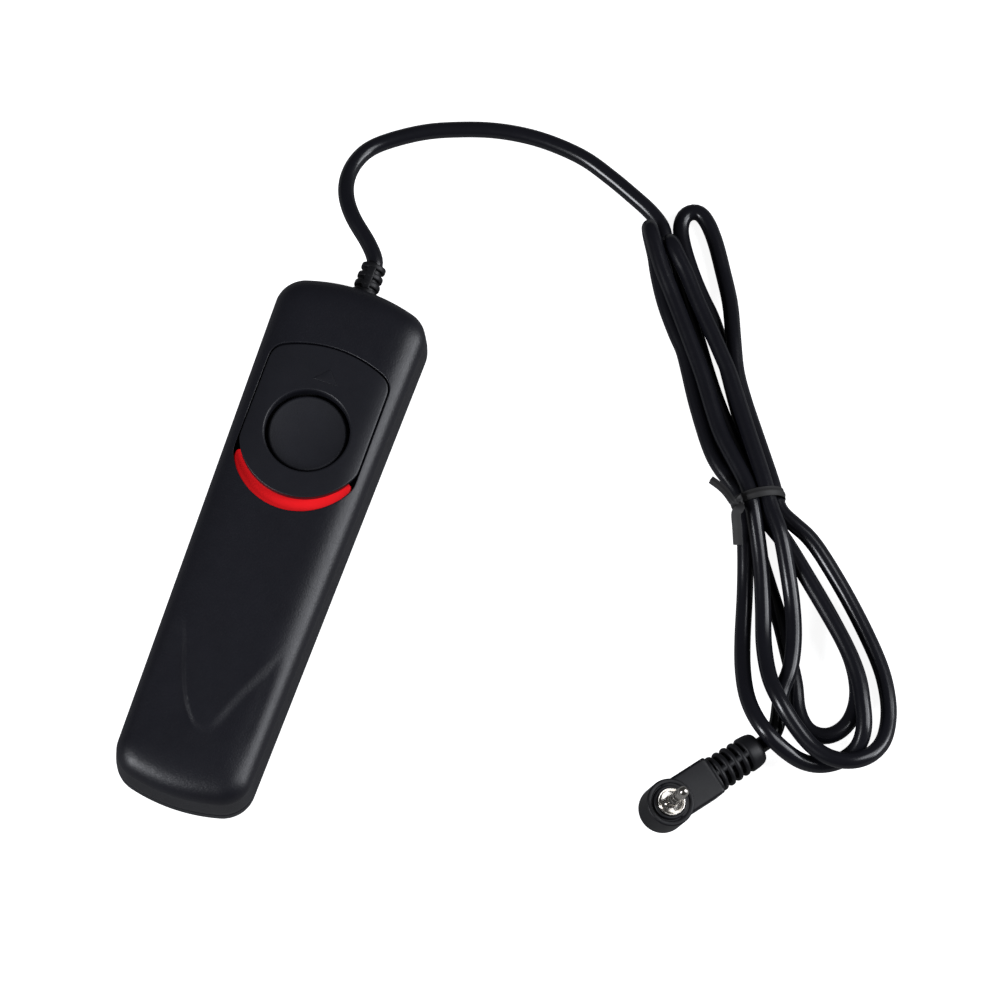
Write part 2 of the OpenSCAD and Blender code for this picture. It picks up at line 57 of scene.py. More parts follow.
# ------------------------------------------------------------------ mesh helpers
class Shape:
    """Vertices and faces in millimetres, with shared vertices so that closed forms stay closed."""

    def __init__(self):
        self.v, self.f, self.m = [], [], []
        self.mat = 0

    def pts(self, p):
        i0 = len(self.v)
        self.v.extend(tuple(float(c) for c in q) for q in p)
        return list(range(i0, len(self.v)))

    def face(self, f):
        self.f.append(tuple(f))
        self.m.append(self.mat)

    def bridge(self, a, b, loop=True):
        n = len(a)
        for i in range(n if loop else n - 1):
            j = (i + 1) % n
            self.face((a[i], a[j], b[j], b[i]))

    def fan(self, a, p):
        c = self.pts([p])[0]
        for i in range(len(a)):
            self.face((a[i], a[(i + 1) % len(a)], c))

    def loft(self, rings):
        ids = [self.pts(r) for r in rings]
        for a, b in zip(ids, ids[1:]):
            self.bridge(a, b)
        return ids

    def fill(self, outer, holes=(), extra=None, zfun=None):
        """Triangles between closed loops of existing vertices, with extra points lifted by zfun."""
        ids = list(outer) + [i for h in holes for i in h]
        loops = [list(outer)] + [list(h) for h in holes]
        co = [Vector(self.v[i][:2]) for i in ids]
        edges, k = [], 0
        for lp in loops:
            edges += [(k + i, k + (i + 1) % len(lp)) for i in range(len(lp))]
            k += len(lp)
        z = None
        if extra is not None and len(extra):
            co += [Vector((float(p[0]), float(p[1]))) for p in extra]
        v2, e2, f2, ov, oe, _ = delaunay_2d_cdt(co, edges, [], 0, 1e-6, True)
        wall = {frozenset(e) for e, o in zip(e2, oe) if len(o)}
        p2 = np.array([[p[0], p[1]] for p in v2])
        out = [-1] * len(v2)
        new = []
        for q, src in enumerate(ov):
            lp = [s for s in src if s < len(ids)]
            if lp:
                out[q] = ids[lp[0]]
            else:
                new.append(q)
        if new:
            zz = zfun(p2[new]) if zfun else np.full(len(new), np.mean([self.v[i][2] for i in outer]))
            got = self.pts(np.column_stack([p2[new], zz]))
            for q, g in zip(new, got):
                out[q] = g
        tri = np.array([list(t)[:3] for t in f2])
        cen = p2[tri].mean(1)
        keep = inside(cen, np.array([self.v[i][:2] for i in outer]))
        for h in holes:
            keep &= ~inside(cen, np.array([self.v[i][:2] for i in h]))
        # a whole patch between the loops stays or goes together, judged by its largest triangle
        near = {}
        for q, t in enumerate(tri):
            for u, w in ((0, 1), (1, 2), (2, 0)):
                near.setdefault(frozenset((int(t[u]), int(t[w]))), []).append(q)
        e0, e1 = p2[tri[:, 1]] - p2[tri[:, 0]], p2[tri[:, 2]] - p2[tri[:, 0]]
        patch = np.full(len(tri), -1)
        for q in np.argsort(-np.abs(e0[:, 0] * e1[:, 1] - e0[:, 1] * e1[:, 0])):
            if patch[q] >= 0:
                continue
            patch[q], todo = q, [q]
            while todo:
                t = tri[todo.pop()]
                for u, w in ((0, 1), (1, 2), (2, 0)):
                    e = frozenset((int(t[u]), int(t[w])))
                    for r in near[e] if e not in wall else ():
                        if patch[r] < 0:
                            patch[r] = q
                            todo.append(r)
        keep = keep[patch]
        for t in tri[keep]:
            self.face([out[i] for i in t])

    def lathe(self, prof, place, n=64, cap0=True, cap1=True):
        """prof: [(radius, height)]; place maps (x, y, z) local points to the frame."""
        a = np.linspace(0, 2 * math.pi, n, endpoint=False)
        rings = []
        for r, h in prof:
            if r < 1e-6:
                rings.append(None)
                rings[-1] = ("pole", place(np.array([[0, 0, h]]))[0])
            else:
                rings.append(("ring", place(np.column_stack([r * np.cos(a), r * np.sin(a), np.full(n, h)]))))
        prev = None
        first = None
        for kind, r in rings:
            if kind == "ring":
                ids = self.pts(r)
                if prev is not None and prev[0] == "ring":
                    self.bridge(prev[1], ids)
                elif prev is not None:
                    c = self.pts([prev[1]])[0]
                    for i in range(n):
                        self.face((ids[i], ids[(i + 1) % n], c))
                prev = ("ring", ids)
                first = first or ("ring", ids)
            else:
                if prev is not None:
                    c = self.pts([r])[0]
                    for i in range(n):
                        self.face((prev[1][i], prev[1][(i + 1) % n], c))
                prev = ("pole", r)
                first = first or ("pole", r)
        if cap0 and first[0] == "ring":
            self.face(first[1])
        if cap1 and prev[0] == "ring":
            self.face(prev[1])
        return first[1], prev[1]

    def sweep(self, path, prof, side=None, scale=None, cap=True):
        """prof [(a, b)]: a along side, b along the other normal. side: one vector per path point, or None for level."""
        p = np.asarray(path, float)
        t = np.gradient(p, axis=0)
        t /= np.linalg.norm(t, axis=1)[:, None]
        s = np.cross(t, np.array([0, 0, 1.0])) if side is None else np.asarray(side, float)
        s = s - (s * t).sum(1)[:, None] * t
        s /= np.linalg.norm(s, axis=1)[:, None]
        w = np.cross(s, t)
        prof = np.asarray(prof, float)
        k = np.ones(len(p)) if scale is None else np.asarray(scale, float)
        rings = [p[i] + k[i] * (prof[:, :1] * s[i] + prof[:, 1:2] * w[i]) for i in range(len(p))]
        ids = self.loft(rings)
        if cap:
            self.fan(ids[0], p[0] - 0 * t[0])
            self.fan(ids[-1], p[-1])
        return ids

    def make(self, name, body, mats, slot=None, stands_for=(), sharp=40, weld=True):
        me = bpy.data.meshes.new(name)
        me.from_pydata([tuple(c * MM for c in v) for v in self.v], [], self.f)
        for k, p in enumerate(me.polygons):
            p.material_index = self.m[k]
        bm = bmesh.new()
        bm.from_mesh(me)
        if weld:
            bmesh.ops.remove_doubles(bm, verts=bm.verts, dist=2e-7)
        bmesh.ops.dissolve_degenerate(bm, dist=1e-8, edges=bm.edges)
        bmesh.ops.recalc_face_normals(bm, faces=bm.faces)
        loose = [v for v in bm.verts if not v.link_faces]
        bmesh.ops.delete(bm, geom=loose, context="VERTS")
        bm.to_mesh(me)
        bm.free()
        me.polygons.foreach_set("use_smooth", [True] * len(me.polygons))
        if sharp:
            me.set_sharp_from_angle(angle=math.radians(sharp))
        me.update()
        ob = bpy.data.objects.new(name, me)
        scene.collection.objects.link(ob)
        for m in mats if isinstance(mats, (list, tuple)) else [mats]:
            me.materials.append(m)
        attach(ob, body)
        if stands_for:
            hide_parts(*stands_for)
        return ob


def inside(p, poly):
    """Which points lie in a closed polygon."""
    x, y = p[:, 0], p[:, 1]
    r = np.zeros(len(p), bool)
    a, b = poly, np.roll(poly, -1, 0)
    for (x0, y0), (x1, y1) in zip(a, b):
        if y0 == y1:
            continue
        c = ((y0 > y) != (y1 > y)) & (x < (x1 - x0) * (y - y0) / (y1 - y0) + x0)
        r ^= c
    return r


def dist_poly(p, poly, closed=True):
    """Distance to a polyline, and the nearest segment and place along it."""
    p = np.asarray(p, float)
    a = poly if closed else poly[:-1]
    b = np.roll(poly, -1, 0) if closed else poly[1:]
    out = np.full(len(p), 1e9)
    seg = np.zeros(len(p), int)
    for s in range(0, len(p), 2000):
        q = p[s:s + 2000, None, :]
        ab = (b - a)[None]
        t = np.clip(((q - a[None]) * ab).sum(-1) / np.maximum((ab ** 2).sum(-1), 1e-12), 0, 1)
        d = np.linalg.norm(q - (a[None] + t[..., None] * ab), axis=-1)
        k = d.argmin(1)
        out[s:s + 2000] = d[np.arange(len(k)), k]
        seg[s:s + 2000] = k
    return out, seg


def step(a, b, x):
    t = np.clip((np.asarray(x, float) - a) / (b - a), 0, 1)
    return t * t * (3 - 2 * t)


def resample(poly, h, closed=True):
    q = np.vstack([poly, poly[:1]]) if closed else np.asarray(poly, float)
    s = np.concatenate([[0], np.cumsum(np.linalg.norm(np.diff(q, axis=0), axis=1))])
    n = max(3, int(round(s[-1] / h)))
    u = np.linspace(0, s[-1], n, endpoint=False) if closed else np.linspace(0, s[-1], n)
    return np.column_stack([np.interp(u, s, q[:, k]) for k in range(q.shape[1])])


def soften(poly, h, sigma):
    """A closed polyline with its corners eased."""
    q = resample(poly, h)
    n = int(3 * sigma / h)
    k = np.exp(-0.5 * (np.arange(-n, n + 1) * h / sigma) ** 2)
    k /= k.sum()
    return sum(w * np.roll(q, -j, 0) for w, j in zip(k, range(-n, n + 1)))


def normals2(poly):
    t = np.roll(poly, -1, 0) - np.roll(poly, 1, 0)
    t /= np.linalg.norm(t, axis=1)[:, None]
    return np.column_stack([t[:, 1], -t[:, 0]])


def hexgrid(x0, x1, y0, y1, h):
    rows = []
    for k, y in enumerate(np.arange(y0, y1, h * 0.866)):
        xs = np.arange(x0 + (h / 2 if k % 2 else 0), x1, h)
        rows.append(np.column_stack([xs, np.full(len(xs), y)]))
    return np.vstack(rows)


def catmull(w, h):
    """Points of the curve through way points w, about h apart."""
    w = np.asarray(w, float)
    out = []
    for i in range(len(w) - 1):
        a, b, c, d = w[max(i - 1, 0)], w[i], w[i + 1], w[min(i + 2, len(w) - 1)]
        n = max(1, int(round(np.linalg.norm(c - b) / h)))
        for t in np.arange(n) / n:
            out.append(0.5 * (2 * b + (c - a) * t + (2 * a - 5 * b + 4 * c - d) * t * t + (3 * b - a - 3 * c + d) * t ** 3))
    return np.array(out + [w[-1]])


# ------------------------------------------------------------------ materials
def nodes_of(name):
    m = bpy.data.materials.new(name)
    m.use_nodes = True
    nt = m.node_tree
    bsdf = nt.nodes.get("Principled BSDF")
    return m, nt, bsdf


def noise(nt, coord, size_mm, detail=3.0, rough=0.55, distortion=0.0):
    n = nt.nodes.new("ShaderNodeTexNoise")
    n.inputs["Scale"].default_value = 1000.0 / size_mm
    n.inputs["Detail"].default_value = detail
    n.inputs["Roughness"].default_value = rough
    n.inputs["Distortion"].default_value = distortion
    nt.links.new(coord, n.inputs["Vector"])
    return n.outputs["Fac"]


def remap(nt, src, lo, hi, a=0.3, b=0.7):
    n = nt.nodes.new("ShaderNodeMapRange")
    n.inputs["From Min"].default_value, n.inputs["From Max"].default_value = a, b
    n.inputs["To Min"].default_value, n.inputs["To Max"].default_value = lo, hi
    nt.links.new(src, n.inputs["Value"])
    return n.outputs["Result"]


def bump(nt, height, dist_mm, strength, before=None):
    n = nt.nodes.new("ShaderNodeBump")
    n.inputs["Strength"].default_value = strength
    n.inputs["Distance"].default_value = dist_mm * MM
    nt.links.new(height, n.inputs["Height"])
    if before is not None:
        nt.links.new(before, n.inputs["Normal"])
    return n.outputs["Normal"]


def mixcol(nt, fac, c0, c1):
    n = nt.nodes.new("ShaderNodeMix")
    n.data_type = "RGBA"
    nt.links.new(fac, n.inputs[0])
    n.inputs[6].default_value = (*c0, 1)
    n.inputs[7].default_value = (*c1, 1)
    return n.outputs[2]


def coords(nt):
    return nt.nodes.new("ShaderNodeTexCoord").outputs["Object"]


def plastic(name, col, rough, grain=0.4, depth=0.02, strength=0.5, spec=0.5, spread=0.015, fine=0.12, tint=0.08, coat=0.0, wave=0.05, painted_glow=0.0):
    """Moulded plastic: spark-eroded grain, a little mottling of colour and gloss, faint long waves."""
    m, nt, b = nodes_of(name)
    c = coords(nt)
    big = noise(nt, c, 9.0, 3)
    lo = tuple(x * (1 - tint) for x in col)
    hi = tuple(x * (1 + tint) for x in col)
    nt.links.new(mixcol(nt, remap(nt, big, 0, 1), lo, hi), b.inputs["Base Color"])
    g = noise(nt, c, grain, 2.5, 0.6)
    f = noise(nt, c, fine, 1.5, 0.5)
    mix = nt.nodes.new("ShaderNodeMath")
    mix.operation = "MULTIPLY_ADD"
    mix.inputs[1].default_value = 0.35
    nt.links.new(f, mix.inputs[0])
    nt.links.new(g, mix.inputs[2])
    n1 = bump(nt, mix.outputs[0], depth, strength)
    n2 = bump(nt, noise(nt, c, 22.0, 1), wave, 0.25, n1)
    nt.links.new(n2, b.inputs["Normal"])
    r = nt.nodes.new("ShaderNodeMath")
    r.operation = "ADD"
    nt.links.new(remap(nt, noise(nt, c, 2.4, 4, 0.6), rough - spread, rough + spread), r.inputs[0])
    nt.links.new(remap(nt, g, -spread * 0.5, spread * 0.5), r.inputs[1])
    nt.links.new(r.outputs[0], b.inputs["Roughness"])
    b.inputs["Specular IOR Level"].default_value = spec
    # painted light: an optional emission in the part's own colour, so the part looks more brightly lit than the lamps
    # make it
    if painted_glow:
        b.inputs["Emission Color"].default_value = (*col, 1)
        b.inputs["Emission Strength"].default_value = painted_glow
    if coat:
        b.inputs["Coat Weight"].default_value = coat
        b.inputs["Coat Roughness"].default_value = 0.25
    return m


def metal(name, col, rough, brushed=None, depth=0.004, tarnish=0.72):
    """Plated or rolled metal: fine scratches, tarnish spots, uneven gloss."""
    m, nt, b = nodes_of(name)
    c = coords(nt)
    v = c
    if brushed:
        mp = nt.nodes.new("ShaderNodeMapping")
        mp.inputs["Scale"].default_value = brushed
        nt.links.new(c, mp.inputs["Vector"])
        v = mp.outputs["Vector"]
    s = noise(nt, v, 0.35, 6, 0.7)
    dark = tuple(x * tarnish for x in col)
    nt.links.new(mixcol(nt, remap(nt, noise(nt, c, 1.6, 4), 0, 1, 0.25, 0.6), dark, col), b.inputs["Base Color"])
    nt.links.new(remap(nt, s, rough * 0.6, rough * 1.5), b.inputs["Roughness"])
    nt.links.new(bump(nt, s, depth, 0.5), b.inputs["Normal"])
    b.inputs["Metallic"].default_value = 1.0
    return m


MAT = {
    "shell_black": plastic("shell_black", (0.0088, 0.0090, 0.0135), 0.40, 0.42, 0.055, 0.85),
    "plate_black": plastic("plate_black", (0.0105, 0.0108, 0.0152), 0.42, 0.38, 0.034, 0.7),
    "button_black": plastic("button_black", (0.0120, 0.0124, 0.0172), 0.50, 0.38, 0.032, 0.65),
    # the red flag carries a faint emission: painted light that makes it brighter than the lamps alone would
    "flag_red": plastic("flag_red", (0.86, 0.0080, 0.0125), 0.38, 0.5, 0.006, 0.4, tint=0.04, painted_glow=0.24),
    "inner_grey": plastic("inner_grey", (0.035, 0.035, 0.038), 0.45, 0.5, 0.012, 0.4),
    "plunger_white": plastic("plunger_white", (0.75, 0.74, 0.70), 0.35, 0.6, 0.006, 0.3, tint=0.04),
    "screw_steel": metal("screw_steel", (0.60, 0.60, 0.61), 0.28),
    "spring_steel": metal("spring_steel", (0.66, 0.66, 0.66), 0.22, (0.2, 1, 1)),
    "board_green": plastic("board_green", (0.012, 0.085, 0.03), 0.32, 0.9, 0.01, 0.3, tint=0.15),
    "contact_bronze": metal("contact_bronze", (0.80, 0.58, 0.26), 0.24, (1, 0.15, 1)),
    "solder": metal("solder", (0.70, 0.70, 0.72), 0.18),
    "wire_bare": metal("wire_bare", (0.80, 0.50, 0.30), 0.3, (1, 0.3, 1)),
    "wire_yellow": plastic("wire_yellow", (0.72, 0.50, 0.03), 0.4, 0.6, 0.006, 0.3, tint=0.06),
    "wire_red": plastic("wire_red", (0.55, 0.012, 0.012), 0.4, 0.6, 0.006, 0.3, tint=0.06),
    "rubber_black": plastic("rubber_black", (0.0072, 0.0073, 0.0090), 0.46, 0.35, 0.024, 0.6, spec=0.34),
    "cable_black": plastic("cable_black", (0.0085, 0.0086, 0.0120), 0.24, 0.6, 0.002, 0.3, spread=0.02, fine=0.3, wave=0.01),
    "tie_black": plastic("tie_black", (0.0170, 0.0165, 0.0170), 0.62, 0.30, 0.02, 0.6),
    "plug_metal": metal("plug_metal", (0.72, 0.69, 0.64), 0.19, (1, 1, 0.25), 0.0008, 0.9),
    "insulator_black": plastic("insulator_black", (0.008, 0.008, 0.009), 0.3, 0.4, 0.005, 0.3),
}

# ------------------------------------------------------------------ handset outline and crown
BODY_L, HEAD_W, TAIL_W, BODY_T, PART_Z = 120.3, 34.3, 30.5, 15.0, 4.5
HEAD_B, TAIL_B, CR = 4.4, 3.7, 7.1


def outline():
    """Corner-arc centres and outward normals of the plan outline, in order."""
    def end(w, b, s, n):
        out = []
        for i in range(n + 1):
            x = s * (w / 2 - CR) * (1 - 2 * i / n)
            nn = np.array([2 * b * x / (w / 2) ** 2, s])
            out.append((np.array([x, s * (BODY_L / 2 - b * (2 * x / w) ** 2 - CR)]), nn / np.linalg.norm(nn)))
        return out

    def arc(c, a0, a1, n):
        return [(c, np.array([math.cos(a), math.sin(a)])) for a in (a0 + (a1 - a0) * i / n for i in range(1, n))]

    ang = lambda v: math.atan2(v[1], v[0])
    sa = math.atan((HEAD_W - TAIL_W) / 2 / (BODY_L - 2 * CR))
    h, t = end(HEAD_W, HEAD_B, 1, 30), end(TAIL_W, TAIL_B, -1, 28)
    nl, nr = np.array([-math.cos(sa), -math.sin(sa)]), np.array([math.cos(sa), -math.sin(sa)])
    # the side normals lean with the taper
    hl, hr, tl, tr = h[-1], h[0], t[0], t[-1]
    side = lambda p, q, nn, n: [(p + (q - p) * i / n, nn) for i in range(n + 1)]
    left = side(hl[0], tl[0], nl, 110)
    right = side(tr[0], hr[0], nr, 110)
    return (h + arc(hl[0], ang(hl[1]), math.pi + sa, 20) + left
            + arc(tl[0], math.pi + sa, ang(tl[1]) + 2 * math.pi, 20) + t
            + arc(tr[0], ang(tr[1]), -sa, 20) + right[:-1] + [right[-1]] + arc(hr[0], -sa, ang(hr[1]), 20))


OUT = outline()
OC = np.array([c for c, _ in OUT])
ON = np.array([n for _, n in OUT])


def ring2(d):
    return OC + (CR - d) * ON


def ring3(z, d):
    q = ring2(d)
    return np.column_stack([q, np.full(len(q), z)])


EDGE = ring2(0.0)


def crown(d):
    u = np.clip((np.asarray(d, float) - 0.35) / 9.0, 0, 1)
    return 10.5 + 4.5 * np.sqrt(np.maximum(0, 1 - (1 - u) ** 3))


# pointed tongue of the top face: its two arms meet near the tail
TONGUE = catmull([(-13.6, -15.0), (-11.4, -21.0), (-8.7, -27.6), (-6.5, -34.2), (-4.1, -39.6), (-1.6, -43.3), (0.2, -44.7), (1.9, -44.9),
                  (3.4, -43.6), (4.7, -40.4), (6.4, -36.0), (9.2, -29.8), (12.1, -23.4), (14.6, -17.6)], 0.3)


def tongue_drop(p, d):
    """How far the field outside the tongue lies below the crown."""
    dist, seg = dist_poly(p, TONGUE, closed=False)
    poly = np.vstack([TONGUE, [[30, 0], [30, 60], [-30, 60], [-30, 0]]])
    s = np.where(inside(p, poly), dist, -dist)
    side = step(-3, 4, p[:, 0])
    w = 0.55 * (1 - side) + 1.25 * side
    low = step(w, -w, s)
    fade = step(-20, -33, TONGUE[np.minimum(seg, len(TONGUE) - 1)][:, 1])
    amp = (0.52 * (1 - side) + 0.50 * side) * fade
    away = np.exp(-np.maximum(0, -s) / 16.0)
    tip = 0.3 + 0.7 * step(1.0, 4.2, np.abs(TONGUE[np.minimum(seg, len(TONGUE) - 1)][:, 0] - 1.0))
    return amp * low * away * tip * step(2.3, 5.0, d)


def height(p):
    """The top face over plan points p."""
    p = np.asarray(p, float)
    d, _ = dist_poly(p, EDGE)
    z = crown(d)
    k = (np.abs(p[:, 1]) > 38) & (d > 4.0)
    if k.any():
        q = p[k]
        acc, n = np.zeros(len(q)), 0
        for r in (0.0, 0.8, 1.6):
            for a in np.linspace(0, 2 * math.pi, 1 if r == 0 else 8, endpoint=False):
                acc += crown(dist_poly(q + r * np.array([math.cos(a), math.sin(a)]), EDGE)[0])
                n += 1
        w = step(4.0, 6.5, d[k]) * step(38, 43, np.abs(q[:, 1]))
        z[k] = z[k] * (1 - w) + acc / n * w
    t = p[:, 1] < -12
    if t.any():
        z[t] -= tongue_drop(p[t], d[t])
    return z


def window(hw, ytop, cy, r):
    """The window's contour, or the plate's that fills it: round below, bowed above."""
    a = math.acos(hw / r)
    low = [(r * math.cos(t), cy + r * math.sin(t)) for t in np.linspace(math.pi + a, 2 * math.pi - a, 90)]
    top = 66.5 * math.pi / 180
    xa = hw - 3.4 + 3.4 * math.cos(top)
    yc = ytop - 1.9 * (xa / (hw - 3.6)) ** 2 - 3.4 * math.sin(top)
    rc = [(hw - 3.4 + 3.4 * math.cos(t), yc + 3.4 * math.sin(t)) for t in np.linspace(0, top, 14)]
    bow = [(x, ytop - 1.9 * (x / (hw - 3.6)) ** 2) for x in np.linspace(xa, -xa, 60)][1:-1]
    lc = [(-x, y) for x, y in rc[::-1]]
    return soften(np.array(low + rc + bow + lc), 0.45, 0.75)


WIN = window(13.6, 44.1, 20.7, 14.45)
PLATE = window(13.35, 43.85, 23.7, 14.2)
SCREWS = [(-9.5, -45.0), (9.5, -45.0), (-11.0, 48.5), (11.0, 48.5)]


def circle(x, y, r, n, z=None, phase=0.0):
    a = np.linspace(0, 2 * math.pi, n, endpoint=False) + phase
    q = np.column_stack([x + r * np.cos(a), y + r * np.sin(a)])
    return q if z is None else np.column_stack([q, np.full(n, z)])


def lift(q, z):
    return np.column_stack([q, z])


# ------------------------------------------------------------------ upper shell
def upper_shell():
    s = Shape()
    rings = [ring3(z, d) for z, d in ((4.56, 0.62), (4.58, 0.26), (4.64, 0.12), (4.74, 0.03), (4.9, 0.0), (6.3, 0.08), (7.7, 0.16), (9.1, 0.25), (10.2, 0.335))]
    ds = [0.35, 0.36, 0.385, 0.43, 0.5, 0.6, 0.74, 0.92, 1.15, 1.45, 1.8, 2.2]
    rings += [ring3(float(crown(d)), d) for d in ds]
    ids = s.loft(rings)
    wn = normals2(WIN)
    edge = []
    for a in np.radians([0, 22.5, 45, 67.5, 90]):
        q = WIN + wn * 0.2 * (1 - math.cos(a))
        edge.append(s.pts(lift(q, height(q) - 0.2 * (1 - math.sin(a)))))
    for a, b in zip(edge, edge[1:]):
        s.bridge(a, b)
    # points between the shoulder and the window, and over the rest of the face
    grid = hexgrid(-18, 18, -61, 61, 0.8)
    d, _ = dist_poly(grid, EDGE)
    k = inside(grid, EDGE) & (d > 2.9)
    grid, d = grid[k], d[k]
    dw, _ = dist_poly(grid, WIN)
    k = ~inside(grid, WIN) & (dw > 0.75)
    grid, d = grid[k], d[k]
    dt, _ = dist_poly(grid, TONGUE, closed=False)
    grid = grid[dt > 1.55]
    extra = [grid, resample(ring2(2.5), 0.8)]
    tn = np.gradient(TONGUE, axis=0)
    tn /= np.linalg.norm(tn, axis=1)[:, None]
    tn = np.column_stack([tn[:, 1], -tn[:, 0]])
    for o in (-1.3, -0.95, -0.68, -0.45, -0.22, 0.0, 0.22, 0.45, 0.68, 0.95, 1.3):
        q = TONGUE + tn * o
        dq, _ = dist_poly(q, EDGE)
        ds_, _ = dist_poly(q, TONGUE, closed=False)
        q = q[inside(q, EDGE) & (dq > 2.8) & (ds_ > abs(o) - 0.05)][::2]
        extra.append(q)
    for o in (0.34, 0.55):
        q = WIN + wn * o
        dq, _ = dist_poly(q, EDGE)
        extra.append(q[dq > 2.32])
    s.fill(ids[-1], [edge[-1]], np.vstack(extra), height)
    # window wall, ceiling, inner walls and joint face
    low = s.pts(lift(WIN, np.full(len(WIN), 13.1)))
    s.bridge(edge[0], low)
    inner = s.loft([ring3(13.1, 2.5), ring3(12.7, 2.0), ring3(11.6, 1.7), ring3(4.56, 1.7)])
    s.fill(inner[0], [low], None, None)
    s.bridge(inner[-1], ids[0])
    for x, y in SCREWS:
        s.lathe([(0.95, 4.6), (2.6, 4.6), (2.6, 13.3), (0.95, 13.3), (0.95, 4.6)],
                lambda q, x=x, y=y: q + np.array([x, y, 0]), 24, False, False)
    return s.make("upper_shell_skin", "handset", MAT["shell_black"], "shell_black", ["upper_shell"], sharp=35)


def lower_shell():
    s = Shape()
    prof = ((0.0, 1.9), (0.07, 1.55), (0.2, 1.2), (0.42, 0.84), (0.72, 0.54), (1.12, 0.29), (1.6, 0.12), (2.1, 0.03), (2.5, 0.0), (3.3, 0.0), (4.12, 0.0),
            (4.26, 0.03), (4.36, 0.12), (4.41, 0.26), (4.42, 1.85), (5.5, 1.9), (5.5, 3.05), (1.8, 3.1))
    ids = s.loft([ring3(z, d) for z, d in prof])
    s.fill(ids[-1], [], hexgrid(-12, 12, -54, 54, 4), lambda q: np.full(len(q), 1.8))
    holes = []
    for x, y in SCREWS:
        a = s.pts(circle(x, y, 2.3, 40, 0.0))
        b = s.pts(circle(x, y, 2.16, 40, 0.05))
        c = s.pts(circle(x, y, 2.1, 40, 0.2))
        e = s.pts(circle(x, y, 2.1, 40, 1.72))
        s.bridge(a, b), s.bridge(b, c), s.bridge(c, e)
        s.face(e)
        holes.append(a)
    s.fill(ids[0], holes, hexgrid(-13, 13, -56, 56, 3.0), lambda q: np.zeros(len(q)))
    return s.make("lower_shell_skin", "handset", MAT["shell_black"], "shell_black", ["lower_shell"], sharp=35)


# ------------------------------------------------------------------ lock plate, button and flag
BY = 24.6


def hold_plate():
    s = Shape()
    top = lambda q: height(q) - 0.1
    n = normals2(PLATE)
    ed = []
    for a in np.radians([0, 22.5, 45, 67.5, 90]):
        q = PLATE - n * 0.22 * (1 - math.cos(a))
        ed.append(s.pts(lift(q, top(q) - 0.22 * (1 - math.sin(a)))))
    for a, b in zip(ed, ed[1:]):
        s.bridge(a, b)
    # round opening: soft rim, thin chamfer, wall
    N = 120
    rim = []
    for r, dz in ((9.58, 0.0), (9.48, 0.01), (9.41, 0.03), (9.34, 0.08), (9.26, 0.18), (9.18, 0.3), (9.13, 0.42), (9.11, 0.6), (9.1, 1.0)):
        q = circle(0, BY, r, N)
        rim.append(s.pts(lift(q, top(q) - dz)))
    for a, b in zip(rim, rim[1:]):
        s.bridge(a, b)
    grid = hexgrid(-13.5, 13.5, 9, 44.2, 0.8)
    dp, _ = dist_poly(grid, PLATE)
    rr = np.hypot(grid[:, 0], grid[:, 1] - BY)
    grid = grid[inside(grid, PLATE) & (dp > 0.85) & (rr > 10.2)]
    extra = [grid, circle(0, BY, 9.85, N), PLATE - n * 0.36, PLATE - n * 0.6]
    s.fill(ed[-1], [rim[0]], np.vstack(extra), top)
    # underside: lip outside, full thickness over the carrier
    lip = s.pts(lift(PLATE, np.full(len(PLATE), 13.35)))
    s.bridge(ed[0], lip)
    core = [(x, y) for x, y in (PLATE - n * 0.45) if y > 20.6]
    a0 = math.asin(3.1 / 10.7)
    core = sorted(core, key=lambda p: math.atan2(p[1] - 24, p[0]) % (2 * math.pi) if True else 0)
    # order: right side up, over the top, left side down, then the round lower part
    core = sorted(core, key=lambda p: (math.atan2(p[1] - 15.0, p[0])))
    core += [(10.7 * math.cos(t), 23.7 + 10.7 * math.sin(t)) for t in np.linspace(math.pi + a0, 2 * math.pi - a0, 40)]
    core = np.array(core)
    c0 = s.pts(lift(core, np.full(len(core), 13.35)))
    c1 = s.pts(lift(core, np.full(len(core), 12.4)))
    s.fill(lip, [c0], None, None)
    s.bridge(c0, c1)
    bore = s.pts(circle(0, BY, 9.1, N, 12.4))
    s.bridge(rim[-1], bore)
    s.fill(c1, [bore], None, None)
    ob = s.make("hold_plate_skin", "slider", MAT["plate_black"], "plate_black", ["hold_plate"], sharp=35)
    # raised arrow
    a = Shape()
    tri = soften(np.array([(-2.8, 36.05), (2.8, 36.05), (0.0, 39.15)]), 0.1, 0.26)
    mid = tri.mean(0)
    rings = []
    for o, dz in ((0.0, -0.12), (0.0, 0.04), (0.02, 0.08), (0.05, 0.11), (0.09, 0.12)):
        q = mid + (tri - mid) * (1 - o / 1.1)
        rings.append(a.pts(lift(q, top(q) + dz)))
    for p, q in zip(rings, rings[1:]):
        a.bridge(p, q)
    a.fill(rings[-1], [], None, None)
    a.fill(rings[0], [], None, None)
    a.make("hold_arrow", "slider", MAT["plate_black"], "plate_black", sharp=50)
    return ob


def shutter_button():
    s = Shape()
    zt, r = 13.0, 8.45
    dish = lambda q: zt - 0.04 - 0.55 * (1 - (q / 7.75) ** 2)
    prof = [(0.0, 9.62), (9.3, 9.62), (9.48, 9.75), (9.5, 10.25), (9.35, 10.4), (8.6, 10.42), (r, 10.6), (r, 12.55)]
    for a in np.radians([15, 30, 45, 60, 75, 90]):
        prof.append((r - 0.45 + 0.45 * math.cos(a), zt - 0.45 + 0.45 * math.sin(a)))
    prof += [(7.9, zt - 0.008)]
    prof += [(q, float(dish(q))) for q in (7.72, 7.4, 6.9, 6.2, 5.4, 4.5, 3.5, 2.4, 1.2)] + [(0.0, float(dish(0.0)))]
    s.lathe(prof, lambda q: q + np.array([0, BY, 0]), 128)
    return s.make("shutter_button_skin", "button", MAT["button_black"], "button_black", ["shutter_button"], sharp=50)


